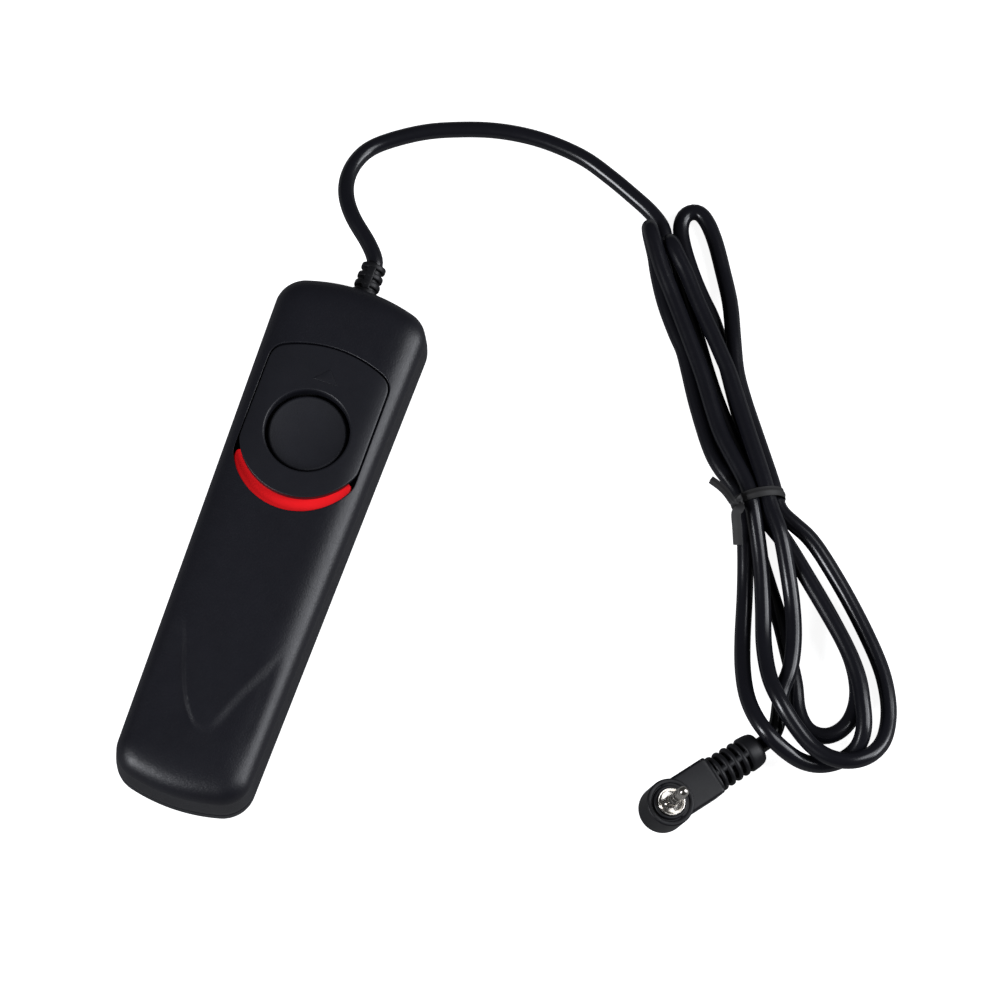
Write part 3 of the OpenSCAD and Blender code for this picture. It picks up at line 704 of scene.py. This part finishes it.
def hold_flag():
    s = Shape()
    R, ri, cy = 14.3, 10.9, 20.7
    a0 = math.radians(180 + 18.0)
    a1 = math.radians(360 - 18.0)
    at = lambda r, t: (max(-13.0, min(13.0, r * math.cos(t))), cy + r * math.sin(t))
    slim = lambda t: ri + 1.6 * float(step(34, 68, abs(math.degrees(t) - 270)))
    outer = [at(R, t) for t in np.linspace(a0, a1, 100)]
    inner = [at(slim(t), t) for t in np.linspace(a1, a0, 80)]
    q = soften(np.array(outer + inner), 0.22, 0.42)
    n = normals2(q)
    rings = []
    for o, z in ((0.1, 12.32), (0.0, 12.42), (0.0, 12.98), (0.03, 13.1), (0.1, 13.19), (0.22, 13.24), (0.36, 13.25)):
        rings.append(s.pts(lift(q - n * o, np.full(len(q), z))))
    for a, b in zip(rings, rings[1:]):
        s.bridge(a, b)
    s.fill(rings[0], [], None, None)
    s.fill(rings[-1], [], None, None)
    return s.make("hold_flag_skin", "handset", MAT["flag_red"], "flag_red", ["hold_flag"], sharp=50)


# ------------------------------------------------------------------ lead, strain relief, tie
LZ = 6.8


def strain_relief():
    s = Shape()
    place = lambda q: np.column_stack([q[:, 0], q[:, 2], LZ + q[:, 1]])
    prof = [(1.78, 54.2), (2.85, 54.2), (2.85, 60.75), (2.8, 60.95), (2.62, 61.05), (2.18, 61.12), (2.15, 61.6)]

    def torus(y0, y1, r, base):
        out = [(base, y0 - 0.02)]
        for t in np.linspace(0, math.pi, 9):
            e = (y1 - y0) / 2
            out.append((r - 0.3 + 0.3 * math.sin(t) ** 0.45, (y0 + y1) / 2 - e * math.cos(t)))
        out.append((base, y1 + 0.02))
        return out

    prof += torus(61.75, 63.0, 2.85, 2.15) + torus(63.75, 64.95, 2.82, 2.1) + torus(65.95, 67.15, 2.72, 2.05)
    prof += [(2.0, 67.32), (1.9, 67.36), (1.8, 67.3), (1.78, 67.0), (1.78, 54.2)]
    s.lathe(prof, place, 56, False, False)

    def bar(x0, x1, y0, y1, z0, z1, b=0.18):
        xm, ym = (x0 + x1) / 2, (y0 + y1) / 2
        rings = []
        for z, o in ((z0, b), (z0 + b * 0.3, b * 0.3), (z0 + b, 0), (z1 - b, 0), (z1 - b * 0.3, b * 0.3), (z1, b)):
            q = soften(np.array([(x0 + o, y0 + o), (x1 - o, y0 + o), (x1 - o, y1 - o), (x0 + o, y1 - o)]), 0.15, 0.12)
            k = 32
            q = resample(q, 1, True) if False else q
            rings.append(lift(q, np.full(len(q), z)))
        m = min(len(r) for r in rings)
        rings = [np.column_stack([np.interp(np.linspace(0, 1, 33)[:-1], np.linspace(0, 1, len(r) + 1), np.append(r[:, k], r[0, k])) for k in range(3)]) for r in rings]
        ids = s.loft(rings)
        s.fan(ids[0], (xm, ym, z0))
        s.fan(ids[-1], (xm, ym, z1))

    bar(-0.85, 0.85, 61.0, 66.2, LZ + 1.6, LZ + 2.76)
    bar(-0.8, 0.8, 61.0, 66.2, LZ - 2.68, LZ - 1.6)
    return s.make("strain_relief_skin", "handset", MAT["rubber_black"], "rubber_black", ["strain_relief"], sharp=45)


WAY = [
    (0, 48, 6.8), (0, 54, 6.8), (0, 60, 6.8), (0, 64.5, 6.8), (-0.1, 68.2, 6.8), (-3.2, 72, 6.8), (-7.9, 76.2, 6.4), (-11.2, 80.6, 5.6),
    (-12.7, 85.3, 4.6), (-12.3, 90.6, 3.4), (-9.6, 95.6, 2.3), (-1.7, 101.6, 1.8), (6.3, 105.2, 1.8), (14.6, 107.7, 1.8), (23.8, 108.7, 1.8),
    (33.5, 107.8, 1.8), (41, 105.3, 1.8), (46.7, 102.9, 1.8), (52, 100.4, 1.8), (55.8, 97.4, 1.8), (57.3, 93.6, 1.8), (60, 88.9, 1.8),
    (63.8, 82.8, 1.8), (71.3, 71.3, 1.8), (79.4, 59.3, 1.9), (87, 51, 2.6), (91.8, 45.6, 2.75), (94.9, 40.5, 2.75), (98.3, 34.5, 2.3),
    (102.8, 28, 1.8), (107.4, 21.5, 1.8), (111.4, 15, 1.8), (115, 9, 1.8), (117.4, 3.6, 1.8), (121, 0, 1.8), (125.3, 0.3, 1.8), (128.3, 4.2, 1.8),
    (128.4, 10.5, 1.8), (124.8, 17.8, 1.8), (117.5, 25.6, 1.8), (107, 35.2, 1.8), (102.7, 38.8, 2.2), (98.2, 42.4, 2.75), (95, 47.6, 2.75),
    (90.5, 54.4, 2.3), (84.8, 62.4, 1.8), (77.9, 73.3, 1.8), (72.6, 81, 1.8), (68.8, 85.1, 1.8), (64.8, 89.9, 1.8), (61, 95.3, 1.8), (59, 99.4, 1.8),
    (59.1, 102.6, 1.8), (61.3, 104, 1.8), (63.9, 102.5, 1.8), (67.1, 98.7, 1.8), (71, 92.5, 1.8), (74.9, 85.6, 2.9), (78, 78.1, 4.7),
    (81.2, 70.7, 5.1), (84.8, 65, 5.1), (88.7, 59.6, 5.2), (96.7, 48.5, 6), (99.9, 43.5, 6), (103.8, 41.6, 5.6), (109.4, 39, 4.6), (120, 30.2, 2.6),
    (129.6, 20.2, 1.8), (134, 13.6, 1.8), (136.2, 7.8, 2), (136.6, 2.2, 3.2), (134.6, -2.2, 4.8), (131.2, -4.6, 5.6), (127, -5.2, 5.8),
    (122.6, -4, 6.1), (118, -1.2, 7.2), (113.6, 2.4, 8.3), (109.8, 6.8, 7.6), (106.3, 13.8, 5.6), (103.4, 22, 5.4), (99.8, 31, 6.8),
    (94.9, 40.5, 9.25), (91.8, 45.6, 9.25), (83.6, 54, 8.7), (79.7, 59.2, 8.4), (74.8, 66.4, 8.3), (69.1, 73.8, 8.3), (63.6, 80.7, 8.5),
    (58.8, 86.6, 9.1), (55.7, 91.1, 9.4), (54.2, 93.4, 9.3), (53.4, 94.7, 8.7), (53.1, 95.2, 7.2), (53.4, 94.7, 5.7), (54.3, 93.2, 5.1),
    (56.2, 90.2, 5), (58.2, 86.2, 5), (61.9, 80.1, 5), (66.5, 74.2, 5), (69, 71.4, 5), (71.8, 66.9, 5), (76.2, 59.7, 5), (83, 50.2, 5.7),
    (90.1, 44.5, 6), (93.2, 39.4, 6), (96, 32.4, 4.4), (98.6, 24.5, 2.4), (101.4, 14.5, 2.6), (103.8, 7.4, 4.2), (106.6, 1.6, 6.2), (110, -2.6, 7.6),
    (113.8, -5.4, 7.8), (118, -6.9, 5.8), (122, -7.2, 3.2), (126, -6.2, 1.9), (129.8, -3.6, 1.9), (132, -0.2, 3.2), (131.9, 4, 4.8), (130, 8.6, 5.4),
    (127.2, 14, 5.4), (122, 20.2, 5.4), (113, 28.6, 5.4), (104, 36.4, 5.6), (96.7, 41.5, 6), (93.6, 46.7, 6), (85.2, 55.8, 5.4), (80, 62, 5.1),
    (75.7, 67.8, 5), (70.1, 76.1, 5), (65.6, 82.9, 5), (61.8, 89.5, 5), (59.8, 92.1, 4.95), (58.7, 93.2, 5.45), (58.2, 93.7, 6.9),
    (58.7, 93.1, 8.35), (59.8, 91.9, 8.9), (61.7, 89.8, 8.8), (64.2, 87.3, 8.5), (68.7, 81.8, 8.2), (73.8, 76.1, 8.2), (77, 72.4, 8.2),
    (80.2, 68.6, 8.2), (84, 63.2, 8.3), (88.2, 57.2, 8.7), (95, 47.6, 9.25), (98.2, 42.4, 9.25), (102, 37.5, 9.25), (105.8, 30.8, 7.8),
    (109.2, 24.2, 5.8), (111.8, 17.4, 5.4), (113.2, 10.8, 5.4), (113, 5.8, 4.7), (113.8, 1.6, 4), (114.4, -1.7, 3.5), (114.1, -4.3, 3.4),
    (113.1, -5.95, 3.47), (112, -7.5, 3.73), (110.8, -9.2, 4.01), (107.6, -13.6, 4.76), (102.5, -20.8, 5.97),
]


def cable():
    s = Shape()
    p = catmull(WAY, 0.8)
    # ease the way points' small kinks, ends kept
    q = p.copy()
    for _ in range(4):
        q[1:-1] = 0.25 * q[:-2] + 0.5 * q[1:-1] + 0.25 * q[2:]
    a = np.linspace(0, 2 * math.pi, 20, endpoint=False)
    prof = 1.75 * np.column_stack([np.cos(a), np.sin(a)])
    q[:, 2] = np.maximum(q[:, 2], 1.76)
    s.sweep(q, prof)
    return s.make("cable_jacket_skin", "handset", MAT["cable_black"], "cable_black", ["cable_jacket"], sharp=60)


TIE = np.array([95.0, 44.0, 6.0])
TIE_H = np.array([math.cos(math.radians(-58.8)), math.sin(math.radians(-58.8)), 0.0])
TIE_E = np.array([math.sin(math.radians(58.8)), math.cos(math.radians(58.8)), 0.0])
RIBBON = [(-1.08, 0.0), (-1.02, 0.08), (-0.62, 0.1), (-0.4, 0.15), (-0.26, 0.22), (0.0, 0.27), (0.26, 0.22), (0.4, 0.15), (0.62, 0.1), (1.02, 0.08),
          (1.08, 0.0), (1.02, -0.09), (0.6, -0.11), (0.3, -0.16), (-0.3, -0.16), (-0.6, -0.11), (-1.02, -0.09)]


def twist_tie():
    s = Shape()
    # the band round the bundle
    th = np.radians(np.linspace(150, 150 - 352, 120))
    r = 5.7
    ring = TIE + r * (np.cos(th)[:, None] * TIE_E + np.sin(th)[:, None] * np.array([0, 0, 1.0]))
    knot = np.array([91.0, 40.2, 10.9])
    kd = np.array([0.30, -0.30, 0.90])
    kd /= np.linalg.norm(kd)
    lead_in = catmull([knot + kd * 1.9 + (0.2, 0.4, 0), knot + np.array([0.9, 1.1, 0.9]), ring[0] + 0.35 * (ring[0] - ring[6]), ring[0]], 0.3)
    lead_out = catmull([ring[-1], ring[-1] + 0.3 * (ring[-1] - ring[-7]), knot + np.array([1.3, 0.1, -0.6]), knot - kd * 1.6], 0.3)
    path = np.vstack([lead_in[:-1], ring, lead_out[1:]])
    side = np.tile(TIE_H, (len(path), 1))
    s.sweep(path, RIBBON, side)

    # two strands wound round each other
    def helix(phase, turns, r0, a, b):
        n = 40
        t = np.linspace(0, 1, n)
        ax = a + (b - a) * t[:, None]
        d = (b - a) / np.linalg.norm(b - a)
        u = np.cross(d, [0, 0, 1.0])
        u /= np.linalg.norm(u)
        v = np.cross(d, u)
        g = phase + turns * 2 * math.pi * t
        off = np.cos(g)[:, None] * u + np.sin(g)[:, None] * v
        return ax + r0 * off, off

    a, b = knot - kd * 2.1, knot + kd * 2.1
    small = [(x * 0.78, y * 1.15) for x, y in RIBBON]
    tails = []
    for ph in (0.4, 0.4 + math.pi):
        p, off = helix(ph, 1.25, 0.62, a, b)
        t = np.gradient(p, axis=0)
        s.sweep(p, small, np.cross(t, off))
        tails.append((p[-1], p[-1] - p[-2]))
    # loose ends: one up to the left, one laid down over the bundle
    up = catmull([b + (0.1, 0.2, -0.2), b + (-0.9, -0.1, 0.35), (88.6, 41.2, 12.5), (86.8, 42.4, 11.8), (84.3, 43.6, 10.7)], 0.3)
    k = np.ones(len(up))
    k[0], k[-1] = 0.7, 0.93
    s.sweep(up, [(x * 0.8, y * 1.0) for x, y in RIBBON], np.tile(np.array([0.45, 0.75, 0.5]), (len(up), 1)), k)
    dn = catmull([b + (0.0, -0.1, -0.1), b + (0.7, -0.8, 0.2), (91.9, 37.6, 12.4), (93.0, 35.0, 11.3), (94.3, 32.0, 9.5)], 0.3)
    k = np.ones(len(dn))
    k[0], k[-1] = 0.7, 0.93
    s.sweep(dn, RIBBON, np.tile(np.array([0.9, 0.25, 0.35]), (len(dn), 1)), k)
    return s.make("twist_tie_skin", "handset", MAT["tie_black"], "tie_black", ["twist_tie"], sharp=40)


# ------------------------------------------------------------------ plug
def rot(ax, deg):
    return np.array(Matrix.Rotation(math.radians(deg), 3, ax))


PLUG_R = rot("Z", 54.4) @ rot("Y", 7.8) @ rot("X", 10.7)
PLUG_O = np.array([98.1, -26.9, 7.0])
in_plug = lambda q: np.asarray(q) @ PLUG_R.T + PLUG_O
along_neck = lambda q: in_plug(np.column_stack([q[:, 2], q[:, 0], q[:, 1]]))


def rounded(x0, x1, hy, r, n=8):
    """A rectangle with rounded corners in the neck's plan."""
    out = []
    for cx, cy, a in ((x1 - r, hy - r, 0), (x0 + r, hy - r, 90), (x0 + r, -hy + r, 180), (x1 - r, -hy + r, 270)):
        for t in np.radians(np.linspace(a, a + 90, n)):
            out.append((cx + r * math.cos(t), cy + r * math.sin(t)))
    return np.array(out)


def plug_overmould():
    s = Shape()
    # round head with an eased rim and a raised ring boss about the pin
    prof = [(0.0, -4.4), (4.2, -4.4)]
    prof += [(4.2 + 0.9 * math.sin(t), -3.5 - 0.9 * math.cos(t)) for t in np.radians([15, 30, 45, 60, 75, 90])]
    prof += [(5.1, 3.75)]
    prof += [(4.75 + 0.35 * math.cos(t), 3.95 + 0.35 * math.sin(t)) for t in np.radians([0, 20, 40, 60, 80, 90])]
    prof += [(4.3, 4.3), (4.2, 4.26), (4.12, 4.12), (4.06, 3.8), (3.95, 3.72), (3.75, 3.72), (3.66, 3.8), (3.62, 4.2), (3.55, 4.36), (3.42, 4.42), (3.1, 4.42), (3.02, 4.36), (2.98, 4.1), (0.0, 4.1)]
    s.lathe(prof, in_plug, 96)
    # block between head and neck, its top face a little proud with eased edges
    base = rounded(0.2, 11.8, 4.3, 0.6)
    rings = []
    for z, o in ((-4.0, 0.55), (-3.9, 0.3), (-3.7, 0.1), (-3.4, 0.0), (3.35, 0.0), (3.62, 0.06), (3.85, 0.22), (3.97, 0.42), (4.0, 0.62)):
        q = base.copy()
        q[:, 1] -= np.sign(q[:, 1]) * o
        q[:, 0] -= np.where(q[:, 0] > 6, o * 1.1, 0)
        rings.append(in_plug(lift(q, np.full(len(q), z))))
    ids = s.loft(rings)
    s.face(ids[0])
    s.face(ids[-1])
    # slim flange where the neck starts
    fl = []
    for x, k in ((11.5, 3.5), (11.6, 3.8), (11.9, 3.88), (12.15, 3.84), (12.3, 3.72), (12.38, 3.45)):
        a = np.linspace(0, 2 * math.pi, 64, endpoint=False)
        c, d = np.cos(a), np.sin(a)
        sq = (np.abs(c) ** 3.2 + np.abs(d) ** 3.2) ** (-1 / 3.2)
        fl.append(in_plug(np.column_stack([np.full(64, x), k * 1.05 * sq * c, k * 0.98 * sq * d])))
    ids = s.loft(fl)
    s.face(ids[0])
    s.face(ids[-1])
    # ribbed boot
    core = 2.55
    prof = [(1.8, 11.7), (core, 11.7), (core, 12.6)]
    for i in range(4):
        x0, r = 12.7 + 1.95 * i, 4.0 - 0.04 * i
        prof += [(core, x0)]
        prof += [(r - 0.55 + 0.55 * math.sin(t) ** 0.7, x0 + 0.55 - 0.55 * math.cos(t)) for t in np.linspace(0.0, math.pi, 9)]
        prof += [(core, x0 + 1.1)]
    prof += [(core, 20.3), (3.45, 20.36), (3.72, 20.46), (3.86, 20.66), (3.89, 21.0), (3.86, 21.6), (3.78, 22.4), (3.66, 23.1), (3.48, 23.65), (3.2, 24.02), (2.8, 24.18), (2.3, 24.2), (1.9, 24.12), (1.8, 23.9), (1.8, 11.7)]
    s.lathe(prof, along_neck, 72, False, False)
    # webs joining the ribs above, below and at the sides
    for ax in (0, 1):
        for sg in (1, -1):
            w = 0.68 if ax == 0 else 0.55
            hi = 3.72 if ax == 0 else 3.3
            rings = []
            for x in np.concatenate([[11.9], np.linspace(12.0, 20.7, 22), [20.8]]):
                q = [(-w, 1.9), (-w, hi - 0.28), (-w * 0.72, hi - 0.08), (0, hi), (w * 0.72, hi - 0.08), (w, hi - 0.28), (w, 1.9)]
                k = np.array([(x, (u if ax == 0 else v) * (1 if ax == 0 else sg), (v * sg if ax == 0 else u)) for u, v in q])
                rings.append(in_plug(k))
            ids = s.loft(rings)
            s.face(ids[0])
            s.face(ids[-1])
    return s.make("plug_overmould_skin", "handset", MAT["rubber_black"], "rubber_black", ["plug_overmould"], sharp=42)


def plug_metal():
    out = []
    s = Shape()
    prof = [(0.0, 4.12), (2.9, 4.12), (2.96, 4.2), (2.96, 4.82)]
    prof += [(2.84 + 0.12 * math.cos(t), 4.88 + 0.12 * math.sin(t)) for t in np.radians([0, 30, 60, 90])]
    prof += [(2.72, 4.99), (2.62, 4.93), (2.5, 4.82), (2.2, 4.72), (1.7, 4.66), (1.36, 4.66), (1.29, 4.72), (1.25, 4.84), (1.25, 8.86), (1.21, 8.96), (1.12, 9.0), (0.0, 9.0)]
    s.lathe(prof, in_plug, 72)
    s.make("plug_sleeve_skin", "handset", MAT["plug_metal"], "plug_metal", ["plug_sleeve"], sharp=38)
    for name, node, z0, z1, r in (("plug_insulator_rear_skin", "plug_insulator_rear", 9.0, 9.5, 1.2), ("plug_insulator_front_skin", "plug_insulator_front", 11.2, 11.7, 1.2)):
        s = Shape()
        s.lathe([(0.0, z0), (r - 0.05, z0), (r, z0 + 0.08), (r + 0.02, (z0 + z1) / 2), (r, z1 - 0.08), (r - 0.05, z1), (0.0, z1)], in_plug, 48)
        s.make(name, "handset", MAT["insulator_black"], "insulator_black", [node])
    s = Shape()
    s.lathe([(0.0, 9.5), (1.12, 9.5), (1.21, 9.54), (1.25, 9.62), (1.25, 11.08), (1.21, 11.16), (1.12, 11.2), (0.0, 11.2)], in_plug, 56)
    s.make("plug_ring_skin", "handset", MAT["plug_metal"], "plug_metal", ["plug_ring"], sharp=38)
    s = Shape()
    prof = [(0.0, 11.7), (1.12, 11.7), (1.21, 11.74), (1.25, 11.82), (1.25, 13.0), (1.23, 13.15), (1.15, 13.3), (0.98, 13.55), (0.89, 13.75), (0.86, 13.95), (0.88, 14.15), (0.97, 14.42),
            (1.09, 14.72), (1.16, 14.92), (1.18, 15.12), (1.15, 15.34), (1.05, 15.58), (0.88, 15.82), (0.64, 16.03), (0.42, 16.15), (0.2, 16.19), (0.0, 16.2)]
    s.lathe(prof, in_plug, 56)
    s.make("plug_tip_skin", "handset", MAT["plug_metal"], "plug_metal", ["plug_tip"], sharp=60)


def case_screws():
    """Pan heads with a cross recess, seen down the recesses of the underside."""
    s = Shape()
    for x, y in SCREWS:
        place = lambda q, x=x, y=y: q + np.array([x, y, 0])
        star = []
        n = 48
        a = np.linspace(0, 2 * math.pi, n, endpoint=False)
        rr = 0.32 + 0.78 * np.maximum(0, np.abs(np.cos(2 * a)) ** 3.0) * (np.abs(np.cos(2 * a)) > 0)
        cross = lambda k, z: place(np.column_stack([k * rr * np.cos(a), k * rr * np.sin(a), np.full(n, z)]))
        disc = lambda r, z: place(np.column_stack([r * np.cos(a), r * np.sin(a), np.full(n, z)]))
        ids = s.loft([cross(0.35, 1.45), cross(1.0, 0.72), disc(1.25, 0.62), disc(1.6, 0.72), disc(1.8, 0.92), disc(1.88, 1.2), disc(1.9, 1.66), disc(1.86, 1.72), disc(0.93, 1.74), disc(0.93, 9.1), disc(0.5, 9.5)])
        s.fan(ids[0], (x, y, 1.5))
        s.fan(ids[-1], (x, y, 9.5))
    return s.make("case_screws_skin", "handset", MAT["screw_steel"], "screw_steel", ["case_screws"], sharp=40)


upper_shell()
lower_shell()
hold_plate()
shutter_button()
hold_flag()
strain_relief()
cable()
twist_tie()
plug_overmould()
plug_metal()
case_screws()

# ------------------------------------------------------------------ pieces that stay as the CAD has them
INSIDE = {
    "slide_carrier": "inner_grey", "slider_screws": "screw_steel", "plunger": "plunger_white", "return_spring": "spring_steel",
    "hold_detent_spring": "spring_steel", "contact_board": "board_green", "board_screws": "screw_steel", "contact_block": "inner_grey",
    "common_leaf": "contact_bronze", "focus_leaf": "contact_bronze", "shutter_contact": "contact_bronze", "solder_joints": "solder",
    "wire_common": "wire_bare", "wire_focus": "wire_yellow", "wire_shutter": "wire_red", "cable_clamp": "inner_grey", "clamp_screws": "screw_steel",
}
for n, slot in INSIDE.items():
    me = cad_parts[n].data
    if len(me.materials) == 0:
        me.materials.append(MAT[slot])
    for k in range(len(me.materials)):
        me.materials[k] = MAT[slot]

# ------------------------------------------------------------------ camera: one long lens, tilted back from above
TH, DIST, PPM = math.radians(18.7), 1400.0, 4.667
U0, V0, PHI = -49.077, -12.642, -0.33344


def from_table(v, point=False):
    """Vectors of the table's own axes, square to the picture, in the part's frame."""
    x, y, z = v
    if point:
        x, y = x - U0, y - V0
    c, s = math.cos(-PHI), math.sin(-PHI)
    return Vector((c * x - s * y, s * x + c * y, z))


right, up = from_table((1, 0, 0)), from_table((0, math.cos(TH), math.sin(TH)))
back = from_table((0, -math.sin(TH), math.cos(TH)))
eye = from_table((0, -math.sin(TH) * DIST, math.cos(TH) * DIST), True) * MM
cam = bpy.data.cameras.new("camera")
cam.sensor_width = 36.0
cam.sensor_fit = "HORIZONTAL"
cam.lens = 36.0 * PPM * DIST / 1000.0
cam.clip_start, cam.clip_end = 0.05, 50.0
co = bpy.data.objects.new("camera", cam)
scene.collection.objects.link(co)
m = Matrix((right, up, back)).transposed().to_4x4()
m.translation = eye
co.matrix_world = m
scene.camera = co

# ------------------------------------------------------------------ floor and light
fl = bpy.data.meshes.new("floor")
fl.from_pydata([(-4, -4, -0.00006), (4, -4, -0.00006), (4, 4, -0.00006), (-4, 4, -0.00006)], [], [(0, 1, 2, 3)])
fo = bpy.data.objects.new("floor", fl)
scene.collection.objects.link(fo)
fm, nt, b = nodes_of("floor_white")
b.inputs["Base Color"].default_value = (0.86, 0.86, 0.86, 1)
b.inputs["Roughness"].default_value = 0.9
b.inputs["Specular IOR Level"].default_value = 0.1
# the sweep of paper is lit from behind, so the object leaves only a faint contact shadow
b.inputs["Emission Color"].default_value = (1, 1, 1, 1)
lp = nt.nodes.new("ShaderNodeLightPath")
em = nt.nodes.new("ShaderNodeMapRange")
em.inputs["To Min"].default_value, em.inputs["To Max"].default_value = FLOOR_BOUNCE, 0.92
nt.links.new(lp.outputs["Is Camera Ray"], em.inputs["Value"])
nt.links.new(em.outputs["Result"], b.inputs["Emission Strength"])
pc = nt.nodes.new("ShaderNodeMix")
pc.data_type = "RGBA"
pc.inputs[6].default_value, pc.inputs[7].default_value = (PAPER_BOUNCE,) * 3 + (1,), (0.86, 0.86, 0.86, 1)
nt.links.new(lp.outputs["Is Camera Ray"], pc.inputs[0])
nt.links.new(pc.outputs[2], b.inputs["Base Color"])
fl.materials.append(fm)

w = bpy.data.worlds.new("studio")
scene.world = w
w.use_nodes = True
wn = w.node_tree
bg = wn.nodes["Background"]
lp = wn.nodes.new("ShaderNodeLightPath")
mx = wn.nodes.new("ShaderNodeMapRange")
mx.inputs["To Min"].default_value, mx.inputs["To Max"].default_value = WORLD_FILL, 1.0
wn.links.new(lp.outputs["Is Camera Ray"], mx.inputs["Value"])
wn.links.new(mx.outputs["Result"], bg.inputs["Strength"])
bg.inputs["Color"].default_value = (1, 1, 1, 1)


def softbox(name, azimuth, elevation, dist, sx, sy, power, aim=(0, 0, 0), spread=180):
    """Azimuth from the picture's right, counter-clockwise, in degrees; distances in metres."""
    a, e = math.radians(azimuth), math.radians(elevation)
    at = from_table((aim[0], aim[1], aim[2]), True) * MM
    d = from_table((math.cos(a) * math.cos(e), math.sin(a) * math.cos(e), math.sin(e)))
    la = bpy.data.lights.new(name, "AREA")
    la.shape = "RECTANGLE"
    la.size, la.size_y, la.energy = sx, sy, power
    la.spread = math.radians(spread)
    la.color = (0.93, 0.95, 1.0)
    lo = bpy.data.objects.new(name, la)
    scene.collection.objects.link(lo)
    lo.location = at + d * dist
    lo.rotation_euler = d.to_track_quat("Z", "Y").to_euler()
    lo.visible_camera = False
    return lo


for args in LIGHTS:
    softbox(*args)

scene.view_settings.view_transform = "Standard"
scene.view_settings.look = "None"
scene.view_settings.exposure = 0.0
scene.view_settings.gamma = 1.0
